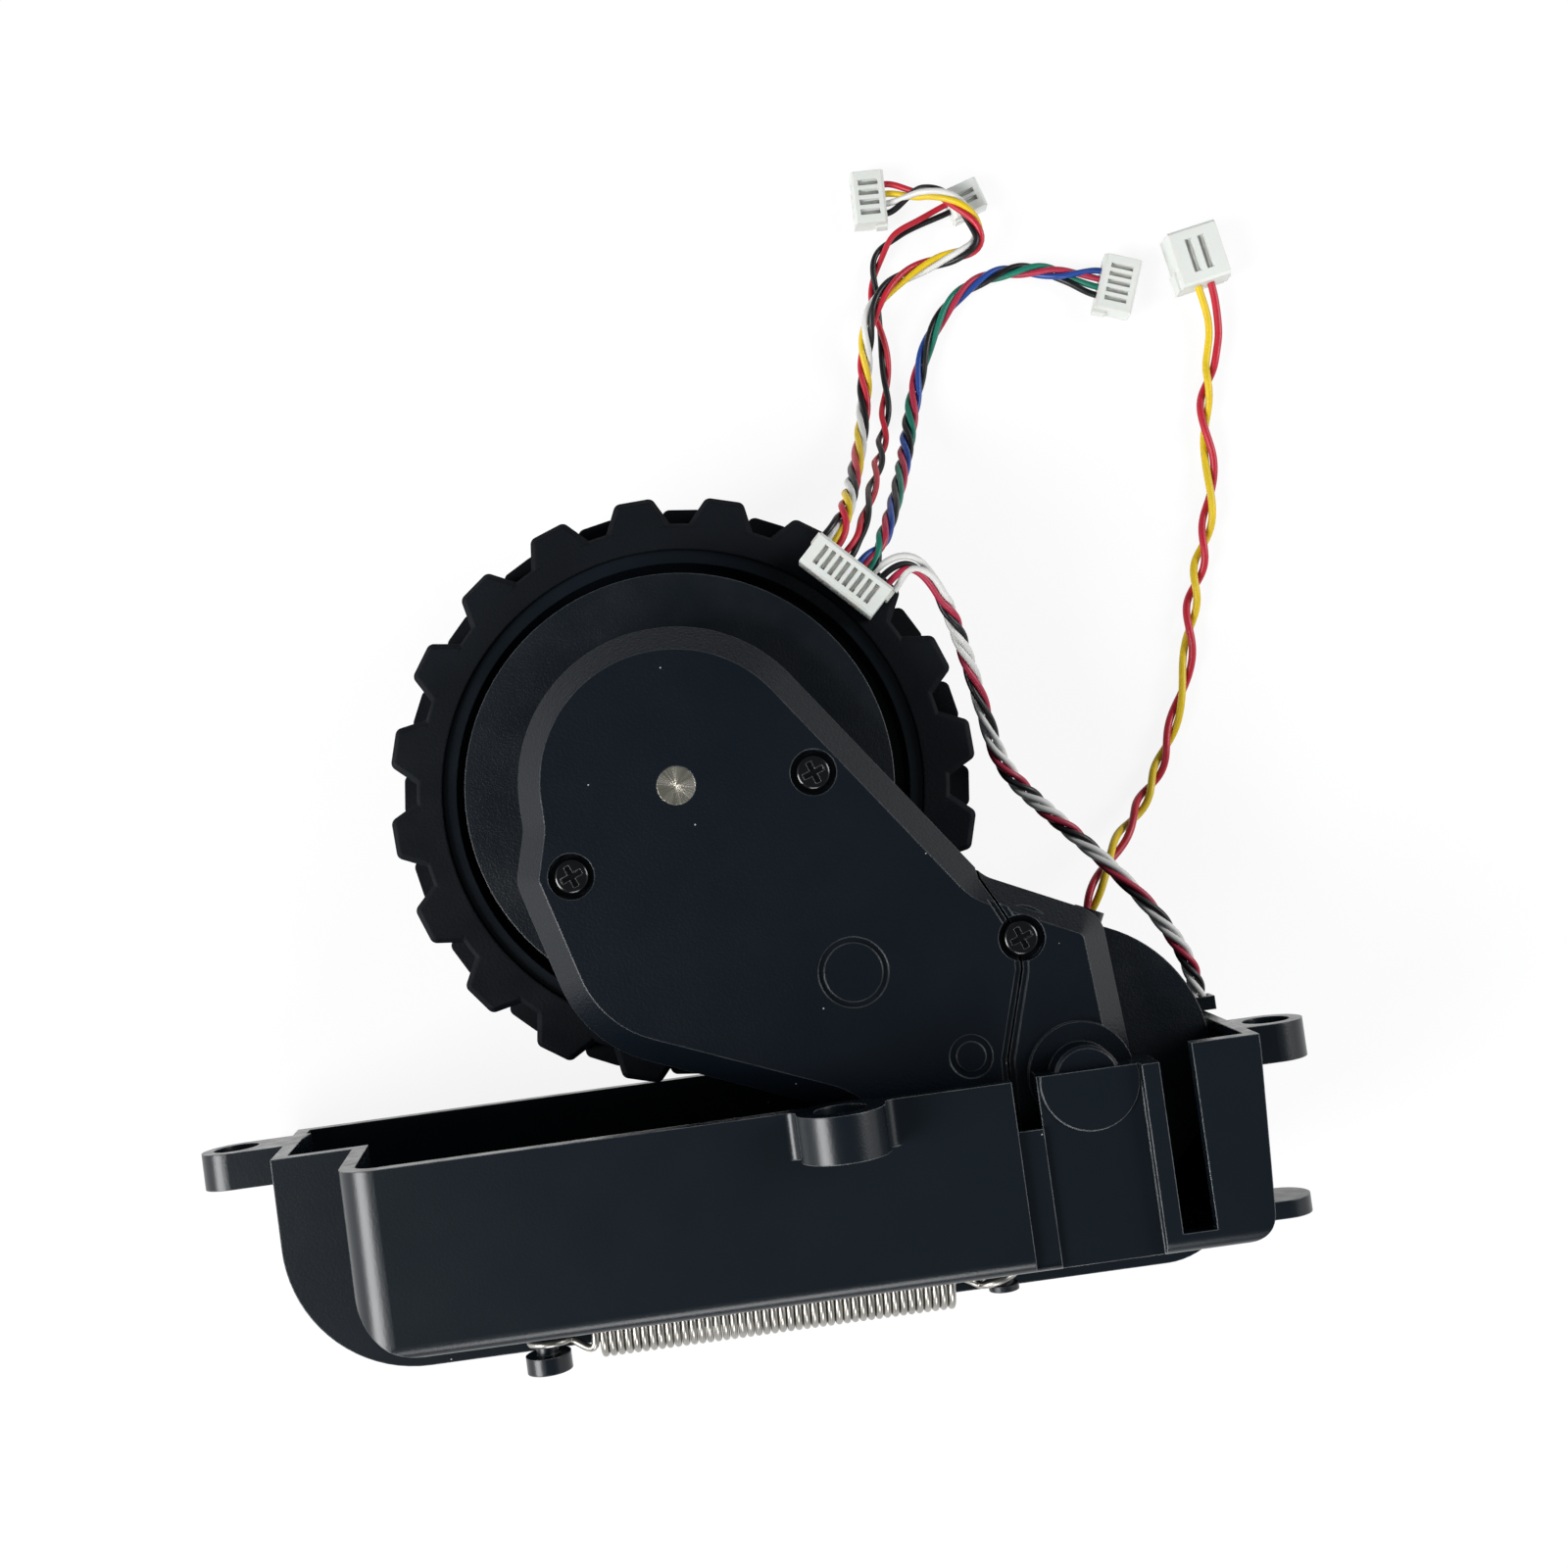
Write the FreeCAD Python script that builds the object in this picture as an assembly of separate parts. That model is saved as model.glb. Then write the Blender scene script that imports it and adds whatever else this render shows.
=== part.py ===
"""Drive wheel module of a floor-cleaning robot, lying on its side.

X runs along the rim of the tray, Y out of the tray's mouth towards the wheel, Z along the wheel
axle. The origin lies on the swing arm's pivot axis, in the plane of the tray's far side wall.
All lengths are millimetres.
"""
import FreeCAD
import Part
import math
import os

V = FreeCAD.Vector
X_AXIS = V(1, 0, 0)
Y_AXIS = V(0, 1, 0)
Z_AXIS = V(0, 0, 1)

# Motor bell of the arm, round the pivot
bell_radius = 19.0
bell_wall = 1.4
bell_end_gap = 0.9
bell_floor_gap = 1.6

# Tray: the moulded housing that the arm folds into, its left ends leaning back and its right end drafted
tray_width = 48.0
wall = 2.0
end_wall = 1.5
rim_y = 1.4
end_lip_y = 3.2
tray_left = -112.4
tray_right = bell_radius + bell_end_gap + end_wall
step_x = -94.5
end_slant = 0.14
end_draft = 0.055
shallow_floor_y = -(bell_radius + bell_floor_gap + wall)
deep_floor_y = shallow_floor_y - 6.2
deep_side_z = tray_width - 20.4
left_corner_radius = 18.0
right_corner_radius = 10.4
step_corner_radius = 9.0
step_right_radius = 4.0
step_edge_radius = 5.5
floor_edge_radius = 2.0
inner_floor_radius = 1.2
overcut = 1.0

# Flexible panel that carries the near end of the pivot, between two slots
panel_left = -6.6
panel_right = 6.4
panel_step = 1.7
slot_width = 3.3
slot_depth_y = 6.4
groove_depth = 1.0
groove_foot = 0.5
opening_right = 12.9
opening_sill = 0.6
panel_rib = 2.2
panel_rib_reach = 3.2
pivot_mark_radius = 6.2
pivot_mark_height = 0.3

# Screw ears, near screw boss and side tab of the tray
ear_radius = 4.9
ear_hole_radius = 3.2
ear_height = 5.2
left_ear_x = -118.4
left_ear_z = 10.7
right_ear_reach = 7.1
right_ear_z = deep_side_z - 3.1
boss_x = -31.4
boss_radius = 5.6
boss_cup_radius = 3.3
boss_hole_radius = 1.7
boss_height = 5.8
boss_floor = 1.8
boss_wall_gap = 0.3
boss_blend_radius = 1.4
tab_z = 26.0
tab_width = 8.0
tab_thickness = 2.4
tab_top_y = deep_floor_y + 6.7
tab_reach = 10.6

# Pivot: two stub journals in open-topped seats
journal_radius = 4.3
journal_play = 0.08
seat_wall = 2.2
seat_skin = 0.8
far_pad = 0.8
near_seat_depth = 3.0
shoulder_radius = 6.8
shoulder_height = 0.8
end_play = 0.3
journal_bevel = 0.4

# Extension spring under the tray
spring_x_start = -66.8
spring_x_end = -20.0
spring_y = shallow_floor_y - 3.3
spring_z = tray_width - 14.5
spring_outer_radius = 3.25
spring_wire = 1.0
spring_turns = 44
coil_crest = (0.3, 0.7)
post_x = -73.6
post_radius = 1.5
post_flange_radius = 3.0
post_flange = 2.2
post_below_spring = 1.8
hook_play = 0.15
lever_x = -13.0
lever_pin_radius = 1.4
lever_pin_flange_radius = 2.0
lever_pin_flange = 0.8
lever_pin_below_spring = 0.9
lever_thickness = 3.8
lever_root_width = 8.0
lever_tip_width = 4.2
lever_root_distance = 10.6
lever_tip_gap = 2.2
lever_cap_play = 0.3
lever_pin_root = 0.6
lever_slot_left = -14.8
lever_slot_right = 5.2
lever_slot_play = 0.8

# Gear train, from the motor pinion on the pivot axis to the wheel
wheel_x = -46.6
wheel_y = 43.8
first_gear_bearing_deg = 163.2
first_module = 0.5
pinion_teeth = 10
first_gear_teeth = 47
second_module = 0.6
first_pinion_teeth = 12
second_gear_teeth = 50
third_module = 0.8
second_pinion_teeth = 19
output_teeth = 64
tooth_head = 0.8
tooth_foot = 1.1
tooth_backlash = 0.14
pressure_angle_deg = 20.0
radial_flank = 0.02
gear_bore_play = 0.04
gear_pin_radius = 1.0

# Levels of the arm along Z
cap_top_z = tray_width - 8.0
cap_thickness = 1.8
cap_inner_bevel_extra = 0.4
cap_screw_play = 0.2
case_parting_z = cap_top_z - 6.0
case_face_z = case_parting_z - 2.2
case_plate = 1.6
skirt_z = case_face_z - 6.8
skirt_wall = 1.6
second_gear_z = (case_face_z + 0.4, case_face_z + 2.8)
second_pinion_z = (skirt_z + 0.5, second_gear_z[0])
second_hub_top_z = cap_top_z - cap_thickness - 0.7
first_pinion_z = (case_face_z + 0.3, case_face_z + 3.3)
first_gear_z = (first_pinion_z[1], first_pinion_z[1] + 2.3)
motor_pinion_z = (first_gear_z[0] - 0.5, first_gear_z[1] + 0.3)
output_z = (skirt_z + 0.6, skirt_z + 4.2)
pin_boss_radius = 2.2
pin_boss_drop = 0.6
gear_pocket_radius = 9.2
gear_pocket_wall = 1.4
gear_pocket_floor = 1.0
gear_pocket_floor_z = skirt_z - 0.8
pocket_pin_floor = 0.2
plate_pin_floor = 0.4
pin_end_gap = 0.1
motor_boss_play = 0.1

# Outline of the gearbox, as corners with their rounding radii, anticlockwise
gearbox_corners = [
    (-8.6, 26.8, 5.0),
    (-36.1, 64.8, 20.4),
    (-67.7, 64.8, 20.4),
    (-67.4, 40.8, 5.0),
    (-69.2, 34.0, 4.6),
    (-63.0, 12.0, 17.0),
    (-32.0, -0.6, 8.0),
    (-20.0, -11.0, 10.0),
    (8.2, -12.4, 7.0),
    (6.0, 19.8, 4.2),
]
case_wall = 1.6
cap_bevel = 3.3
seam_points = [(-9.6, 31.0), (-9.2, 26.6), (-5.3, 18.4), (-5.6, 14.2), (-9.0, 3.1), (-10.0, -16.0)]
seam_gap = 0.3
seam_groove_width = 1.7
seam_groove_depth = 0.5
cap_screws = [(-61.6, 34.0), (-28.8, 43.1), (-5.1, 18.3)]
counterbore_radius = 3.0
counterbore_floor_z = cap_top_z - cap_thickness
screw_boss_radius = 4.2
screw_boss_foot = 1.3
pillar_radius = 2.6
screw_bite = 4.7
mark_rings = ((4.55, 3.8), (2.8, 1.9))
mark_depth = 0.3

# Screws: cross-recessed pan heads
head_radius = 2.35
head_height = 1.5
head_edge_radius = 0.6
cross_turn_deg = 20.0
shank_radius = 1.2
thread_play = 0.03
cap_screw_length = 5.4
cross_width = 0.7
cross_length = 2.9
cross_depth = 0.9

# Motor, its cover and its speed sensor
bell_parting_z = case_face_z - 10.8
cover_face_z = 3.2
cover_plate = 1.2
cover_edge_radius = 1.0
rib_count = 6
rib_width = 1.6
rib_turn_deg = 25.0
rib_play = 0.05
motor_radius = bell_radius - bell_wall - 2.1
motor_top_z = case_face_z - case_plate
end_cap_z = (9.0, 12.0)
end_cap_boss = 0.5
terminal_radii = (8.0, 10.6)
terminal_half_width = 0.4
terminal_height = 1.6
terminal_bearings_deg = (60.0, 240.0)
can_wall = 0.9
motor_boss_radius = 3.0
motor_boss_height = 1.1
shaft_radius = 1.0
shaft_play = 0.04
shaft_bottom_z = 6.4
magnet_inner_radius = motor_radius - 3.1
magnet_z = (end_cap_z[1] + 2.0, motor_top_z - 2.2)
magnet_arc_deg = 140.0
core_radius = magnet_inner_radius - 0.5
core_z = (magnet_z[0] + 1.0, magnet_z[1] - 1.0)
core_poles = 5
core_neck_width = 0.269 * core_radius
core_tip = 1.6
core_slot_width = 1.4
core_hub_radius = 0.353 * core_radius
winding_play = 0.3
winding_overhang = 0.8
commutator_radius = 3.0
commutator_z = (end_cap_z[1] + 0.3, end_cap_z[1] + 2.1)
brush_size = (2.6, 2.0, 1.8)
motor_screw_circle = 8.0
motor_screw_length = 2.5
sensor_magnet_radius = 4.0
sensor_magnet_z = (6.6, 8.2)
board_radius = 9.0
board_thickness = 1.0
board_peg_radius = 1.0
board_peg_x = 6.5
board_peg_play = 0.05
board_peg_proud = 0.5
sensor_chip = (3.0, 3.0, 0.7)
sensor_chip_y = 1.5
lug_circle = bell_radius + 4.4
lug_radius = 2.6
lug_height = 4.0
lug_hole_end = 0.6
through_play = 0.1
lug_bearings_deg = (110.0, 190.0, 270.0)
cover_screw_length = 6.4

# Wheel
tyre_radius = 40.7
tyre_root_radius = tyre_radius - 3.7
tyre_seat_radius = tyre_root_radius - 3.6
tyre_z = (3.8, skirt_z - 1.4)
tyre_shoulder = 0.5
lugs_per_row = 20
lug_phase_deg = 2.2
lug_sink = 0.6
tread_root_width = 9.4
tread_tip_width = 5.2
tread_tip_radius = 1.1
tread_end_bevel = 0.7
tread_row_gap = 0.4
tyre_key_width = 3.0
tyre_key_depth = 0.9
rim_inner_radius = tyre_seat_radius - 1.9
skirt_radius = rim_inner_radius - 2.7
rim_lip = 0.8
hub_disc_z = (11.0, 13.0)
hub_boss_radius = 9.5
hub_boss_z = (6.2, skirt_z - 0.8)
hub_ribs = 6
hub_rib_width = 2.0
hub_rib_drop = 4.6
hub_rib_turn = 0.25
rib_root = 0.5
sleeve_radius = 6.0
sleeve_flat = 5.0
sleeve_bottom_z = hub_disc_z[1] + 3.0
sleeve_top_z = case_face_z - case_plate - 0.3
sleeve_play = 0.03
output_web = 1.6
output_hub_radius = 8.5
output_rim = 3.0
bush_outer_radius = 4.0
bush_length = 6.0
bush_play = 0.03
axle_radius = 2.5
axle_bore_play = 0.12
axle_z = (4.4, cap_top_z)
axle_press = 0.01
axle_boss_radius = 5.0
clip_z = (5.3, 6.0)
clip_outer_radius = 4.2
clip_groove_radius = 2.0
clip_mouth = 3.2
clip_grip = 0.02

# Cords and plugs
wire_bore_play = 0.2
power_cord_diameter = 2.5
signal_cord_diameter = 2.5
branch_a_diameter = 2.4
branch_b_diameter = 2.0
branch_c_diameter = 2.4
power_exit_bearing_deg = 64.6
power_exit_z = 11.0
spout_radius = 2.2
spout_reach = 1.9
signal_exit_x = 21.6
signal_exit_z = 16.5
signal_block_y = (3.0, 4.9)
signal_block_half = 1.9
floor_rest = 0.1
arc_share = 0.45

# Plugs: latch rib, pin slots and mating holes, with the shares of the plug that they take
plug_edge_bevel = 0.4
plug_rib = 0.4
plug_rib_depth = 0.35
plug_rib_top = 0.6
slot_half_share = 0.28
slot_ends = (0.2, 0.8)
slot_depth = 0.5
mate_half_share = 0.25
mate_levels = (0.3, 0.62)
mate_depth = 1.2
tiny = 1e-6
edge_search = 1e-3

PIVOT = V(0, 0, 0)
WHEEL = V(wheel_x, wheel_y, 0)


def cylinder(radius, z0, z1, centre=PIVOT):
    """Upright round bar between two levels, its surface starting at the +Y side."""
    bar = Part.makeCylinder(radius, z1 - z0, V(centre.x, centre.y, z0), Z_AXIS)
    bar.rotate(V(centre.x, centre.y, z0), Z_AXIS, 90)
    return bar


def ring(outer, inner, z0, z1, centre=PIVOT):
    """Upright tube between two levels."""
    return cylinder(outer, z0, z1, centre).cut(cylinder(inner, z0 - 1, z1 + 1, centre))


def box(x0, x1, y0, y1, z0, z1):
    """Block between two corners."""
    return Part.makeBox(x1 - x0, y1 - y0, z1 - z0, V(x0, y0, z0))


def rod_y(radius, y0, y1, x, z):
    """Round bar along Y."""
    return Part.makeCylinder(radius, y1 - y0, V(x, y0, z), Y_AXIS)


def polar(radius, degrees, centre=PIVOT, z=0.0):
    """Point at a radius and bearing about a centre."""
    angle = math.radians(degrees)
    return V(centre.x + radius * math.cos(angle), centre.y + radius * math.sin(angle), z)


def rounded_edges(points, radii, closed=True):
    """Straight runs joined by tangent arcs, one radius for each corner."""
    count = len(points)
    first, last = (0, count) if closed else (1, count - 1)
    entry, leave, edges = dict(), dict(), []
    for i in range(first, last):
        here, before, after = points[i], points[i - 1], points[(i + 1) % count]
        back, ahead = (before - here).normalize(), (after - here).normalize()
        half = back.getAngle(ahead) / 2
        if radii[i] <= 0:
            entry[i], leave[i] = here, here
            continue
        reach = radii[i] / math.tan(half)
        bisector = (back + ahead).normalize()
        entry[i], leave[i] = here + back * reach, here + ahead * reach
        middle = here + bisector * (radii[i] / math.sin(half) - radii[i])
        edges.append((i, Part.Arc(entry[i], middle, leave[i]).toShape()))
    arcs = dict(edges)
    chain = []
    spans = range(count) if closed else range(count - 1)
    for i in spans:
        j = (i + 1) % count
        start, end = leave.get(i, points[i]), entry.get(j, points[j])
        if start.distanceToPoint(end) > tiny:
            chain.append(Part.LineSegment(start, end).toShape())
        if j in arcs:
            chain.append(arcs[j])
    return chain


def outline(corners):
    """Closed flat wire from (x, y, rounding radius) corners."""
    points = [V(x, y, 0) for x, y, _ in corners]
    return Part.Wire(Part.__sortEdges__(rounded_edges(points, [r for _, _, r in corners])))


def prism(wire, z0, z1):
    """Flat wire raised from one level to another."""
    face = Part.Face(wire)
    face.translate(V(0, 0, z0))
    return face.extrude(V(0, 0, z1 - z0))


def inset(corners, depth):
    """Anticlockwise corners moved inwards, with their roundings concentric."""
    moved = []
    for i, (x, y, radius) in enumerate(corners):
        x0, y0, _ = corners[i - 1]
        x1, y1, _ = corners[(i + 1) % len(corners)]
        into, out = V(x - x0, y - y0, 0).normalize(), V(x1 - x, y1 - y, 0).normalize()
        side_a, side_b = V(-into.y, into.x, 0), V(-out.y, out.x, 0)
        shift = (side_a + side_b) * (depth / (1 + side_a.dot(side_b)))
        convex = into.cross(out).z > 0
        moved.append((x + shift.x, y + shift.y, radius - depth if convex else radius + depth))
    return moved


def between_outlines(low, high, z0, z1):
    """Solid ruled between two outlines of the same form, at two levels."""
    foot, top = outline(low), outline(high)
    foot.translate(V(0, 0, z0))
    top.translate(V(0, 0, z1))
    return Part.makeLoft([foot, top], True, True)


def merged(shape):
    """Shape with its split faces joined, where that leaves it sound."""
    joined = shape.removeSplitter()
    return joined if joined.isValid() else shape


def fuse(shapes):
    """One solid from several that touch."""
    return merged(shapes[0].multiFuse(shapes[1:]))


def save(name, *solids):
    """Writes one node: a single solid, or a group of separate like solids."""
    flat = [s for shape in solids for s in shape.Solids]
    shape = flat[0] if len(flat) == 1 else Part.makeCompound(flat)
    shape.exportStep(f"parts/{name}.step")
    box_ = shape.BoundBox
    print(f"{name}: {len(flat)} solid, valid {shape.isValid()}, volume {shape.Volume:.1f}, "
          f"z {box_.ZMin:.2f} to {box_.ZMax:.2f}")
    return shape


# Gears

def tooth_points(teeth, module, phase):
    """Outline of a spur gear with involute flanks, three points on each flank."""
    pitch = teeth * module / 2
    base = pitch * math.cos(math.radians(pressure_angle_deg))
    root = pitch - tooth_foot * module
    tip = pitch + tooth_head * module
    half_pitch = math.pi / (2 * teeth) - tooth_backlash / (2 * pitch)

    def half_width(radius):
        if radius <= base:
            radius = base
        roll = math.acos(min(1.0, base / radius))
        at_pitch = math.acos(base / pitch)
        return half_pitch + (math.tan(at_pitch) - at_pitch) - (math.tan(roll) - roll)

    levels = [root, max(base, root + radial_flank), pitch, tip]
    if levels[1] >= pitch:
        levels = [root, (root + pitch) / 2, pitch, tip]
    points = []
    for i in range(teeth):
        middle = phase + 2 * math.pi * i / teeth
        left = [(r, middle - half_width(r)) for r in levels]
        right = [(r, middle + half_width(r)) for r in reversed(levels)]
        points += [V(r * math.cos(a), r * math.sin(a), 0) for r, a in left + right]
    return points


def gear_blank(teeth, module, phase, centre, z0, z1):
    """Toothed disc at a centre, between two levels."""
    points = tooth_points(teeth, module, phase)
    blank = prism(Part.makePolygon(points + [points[0]]), z0, z1)
    blank.translate(V(centre.x, centre.y, 0))
    return blank


def mesh_phase(driver_teeth, driver_phase, driver_centre, teeth, centre):
    """Phase that puts a gap of one gear on a tooth of the other, on their line of centres."""
    bearing = math.atan2(centre.y - driver_centre.y, centre.x - driver_centre.x)
    share = (bearing - driver_phase) * driver_teeth / (2 * math.pi)
    return bearing + math.pi - (0.5 - share) * 2 * math.pi / teeth


def crossing(centre_a, radius_a, centre_b, radius_b):
    """Left-hand crossing point of two circles, seen from the first to the second."""
    along = centre_b - centre_a
    gap = along.Length
    reach = (radius_a ** 2 - radius_b ** 2 + gap ** 2) / (2 * gap)
    side = math.sqrt(radius_a ** 2 - reach ** 2)
    along.normalize()
    return centre_a + along * reach + V(-along.y, along.x, 0) * side


first_distance = first_module * (pinion_teeth + first_gear_teeth) / 2
second_distance = second_module * (first_pinion_teeth + second_gear_teeth) / 2
third_distance = third_module * (second_pinion_teeth + output_teeth) / 2
FIRST = polar(first_distance, first_gear_bearing_deg)
SECOND = crossing(FIRST, second_distance, WHEEL, third_distance)
pinion_phase = 0.0
first_phase = mesh_phase(pinion_teeth, pinion_phase, PIVOT, first_gear_teeth, FIRST)
second_phase = mesh_phase(first_pinion_teeth, 0.0, FIRST, second_gear_teeth, SECOND)
output_phase = mesh_phase(second_pinion_teeth, 0.0, SECOND, output_teeth, WHEEL)
cap_screw_places = [V(x, y, 0) for x, y in cap_screws]
lug_places = [polar(lug_circle, degrees) for degrees in lug_bearings_deg]
motor_screw_places = [polar(motor_screw_circle, first_gear_bearing_deg + side) for side in (90, -90)]


def compound_gear(centre, big, small, hub_top):
    """Big gear and pinion moulded as one, with a running bore and a hub on top."""
    big_teeth, big_module, big_phase, big_z = big
    small_teeth, small_module, small_z = small
    pieces = [gear_blank(big_teeth, big_module, big_phase, centre, *big_z),
              gear_blank(small_teeth, small_module, 0.0, centre, *small_z)]
    if hub_top > big_z[1]:
        pieces.append(cylinder(2 * gear_pin_radius, big_z[1], hub_top, centre))
    bottom = min(big_z[0], small_z[0])
    bore = cylinder(gear_pin_radius + gear_bore_play, bottom - 1, hub_top + 1, centre)
    return fuse(pieces).cut(bore)


def motor_pinion():
    """Small gear pressed on the motor's shaft."""
    blank = gear_blank(pinion_teeth, first_module, pinion_phase, PIVOT, *motor_pinion_z)
    return blank.cut(cylinder(shaft_radius, 0, tray_width))


def output_gear():
    """Large gear whose flatted sleeve drives the wheel hub."""
    z0, z1 = output_z
    blank = gear_blank(output_teeth, third_module, output_phase, WHEEL, z0, z1)
    pitch = output_teeth * third_module / 2
    web_z = (z0 + z1 + output_web) / 2
    relief = ring(pitch - output_rim, output_hub_radius, web_z, z1 + 1, WHEEL)
    relief = relief.fuse(ring(pitch - output_rim, output_hub_radius, z0 - 1, web_z - output_web, WHEEL))
    sleeve = cylinder(sleeve_radius, sleeve_bottom_z, z0, WHEEL)
    flats = box(wheel_x - sleeve_radius, wheel_x + sleeve_radius, wheel_y - sleeve_flat,
                wheel_y + sleeve_flat, sleeve_bottom_z, z0)
    top = cylinder(sleeve_radius, z1, sleeve_top_z, WHEEL)
    bore = cylinder(bush_outer_radius, sleeve_top_z - bush_length, sleeve_top_z + 1, WHEEL)
    through = cylinder(axle_radius + axle_bore_play, sleeve_bottom_z - 1, sleeve_top_z + 1, WHEEL)
    return fuse([blank.cut(relief), sleeve.common(flats), top]).cut(bore).cut(through)


# Tray

def left_end_x(z):
    """Outer face of the deep part's left end, which leans back towards the near side."""
    return tray_left + end_slant * z


def step_end_x(z):
    """Outer face of the near part's left end, leaning the same way."""
    return step_x - end_slant * (tray_width - z)


def right_end_x(y):
    """Outer face of the right end, which draws in towards the floor."""
    return tray_right - end_draft * (rim_y - y)


def side_profile(left, floor, left_radius, right_radius, inwards, end_inwards):
    """Side view of a part of the tray, moved inwards by its walls."""
    top = rim_y + (overcut if inwards else 0)
    return [(right_end_x(top) - end_inwards, top, 0), (left + inwards, top, 0),
            (left + inwards, floor + inwards, left_radius - inwards),
            (right_end_x(floor) - end_inwards, floor + inwards, right_radius - end_inwards)]


def deep_block(inwards, end_inwards):
    """Deep part of the tray, over the wheel."""
    levels = (inwards, deep_side_z - inwards)
    low, high = [side_profile(left_end_x(z), deep_floor_y, left_corner_radius, right_corner_radius,
                              inwards, end_inwards) for z in levels]
    return between_outlines(low, high, *levels)


def shallow_block(inwards, end_inwards, z0):
    """Near part of the tray: a block with its edges rounded in all three views."""
    near = tray_width - inwards
    floor = shallow_floor_y + inwards
    top = rim_y + (overcut if inwards else 0)
    low, high = [side_profile(step_end_x(z), shallow_floor_y, step_corner_radius, step_right_radius,
                              inwards, end_inwards) for z in (z0, near)]
    side = between_outlines(low, high, z0, near)
    right = tray_right + overcut
    plan = outline([(step_end_x(z0) + inwards, z0, 0), (right, z0, 0), (right, near, 0),
                    (step_end_x(near) + inwards, near, step_edge_radius - inwards)])
    floor_radius = inner_floor_radius if inwards else floor_edge_radius
    end = outline([(z0, floor, 0), (near, floor, floor_radius), (near, top, 0), (z0, top, 0)])
    plan_solid = Part.Face(plan).extrude(V(0, 0, top - floor))
    plan_solid.rotate(PIVOT, X_AXIS, 90)
    plan_solid.translate(V(0, top, 0))
    end_solid = Part.Face(end).extrude(V(0, 0, right - step_end_x(z0)))
    end_solid.rotate(PIVOT, Y_AXIS, -90)
    end_solid.translate(V(right, 0, 0))
    return side.common(plan_solid).common(end_solid)


def ear(tip_x, wall_x, z):
    """Flat ring on an arm at the rim, and its screw hole along Y."""
    x0, x1 = sorted((tip_x, wall_x))
    bottom = rim_y - ear_height
    body = rod_y(ear_radius, bottom, rim_y, tip_x, z)
    arm = box(x0, x1, bottom, rim_y, z - ear_radius, z + ear_radius)
    return body.fuse(arm), rod_y(ear_hole_radius, bottom - overcut, rim_y + overcut, tip_x, z)


def pivot_seat(z0, z1):
    """Open-topped round seat for a journal, cut off at the rim."""
    outer = journal_radius + journal_play + seat_wall
    half = outer + overcut
    seat = cylinder(outer, z0, z1)
    return seat.cut(box(-half, half, rim_y, half, z0 - overcut, z1 + overcut))


def screw_boss(z):
    """Round boss for a fixing screw on the near wall, blended into it on both sides."""
    foot = tray_width + boss_blend_radius
    reach = math.sqrt((boss_radius + boss_blend_radius) ** 2 - (foot - z) ** 2)
    y0, y1 = rim_y - boss_height, rim_y
    blend = box(boss_x - reach, boss_x + reach, y0, y1, tray_width - wall / 2, foot)
    for side in (-reach, reach):
        blend = blend.cut(rod_y(boss_blend_radius, y0 - overcut, y1 + overcut, boss_x + side, foot))
    return fuse([rod_y(boss_radius, y0, y1, boss_x, z), blend])


def side_tab():
    """Flat tab with a round end, low on the right end wall."""
    root = right_end_x(tab_top_y) - end_wall / 2
    tip = right_end_x(tab_top_y) + tab_reach - tab_width / 2
    y0, y1 = tab_top_y - tab_thickness, tab_top_y
    half = tab_width / 2
    return rod_y(half, y0, y1, tip, tab_z).fuse(box(root, tip, y0, y1, tab_z - half, tab_z + half))


def spring_post():
    """Flanged post under the floor, for the fixed loop of the spring."""
    bottom = spring_y - post_below_spring
    post = rod_y(post_radius, bottom, shallow_floor_y + wall / 2, post_x, spring_z)
    return post.fuse(rod_y(post_flange_radius, bottom - post_flange, bottom, post_x, spring_z))


def with_panel(body):
    """Tray with the pivot's panel set in by a step, between its slot and groove and its opening."""
    near, inside = tray_width, tray_width - wall
    outside, above = near + overcut, rim_y + overcut
    panel_inside = inside - panel_step
    opening_left, opening_bottom = panel_right + panel_rib, shallow_floor_y + wall + opening_sill
    body = body.cut(box(panel_left, panel_right, shallow_floor_y, above, near - panel_step, outside))
    body = body.fuse(box(panel_left, panel_right, shallow_floor_y + wall, rim_y, panel_inside, inside))
    rib = box(panel_right, opening_left, opening_bottom, rim_y, panel_inside - panel_rib_reach, inside)
    body = body.fuse(rib)
    slot_left = panel_left - slot_width
    behind = panel_inside - overcut
    cuts = [
        box(slot_left, panel_left, rim_y - slot_depth_y, above, behind, outside),
        box(slot_left, panel_left, shallow_floor_y + groove_foot, rim_y, near - groove_depth, outside),
        box(opening_left, opening_right, opening_bottom, above, behind, outside),
    ]
    for cut in cuts:
        body = body.cut(cut)
    return body


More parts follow.
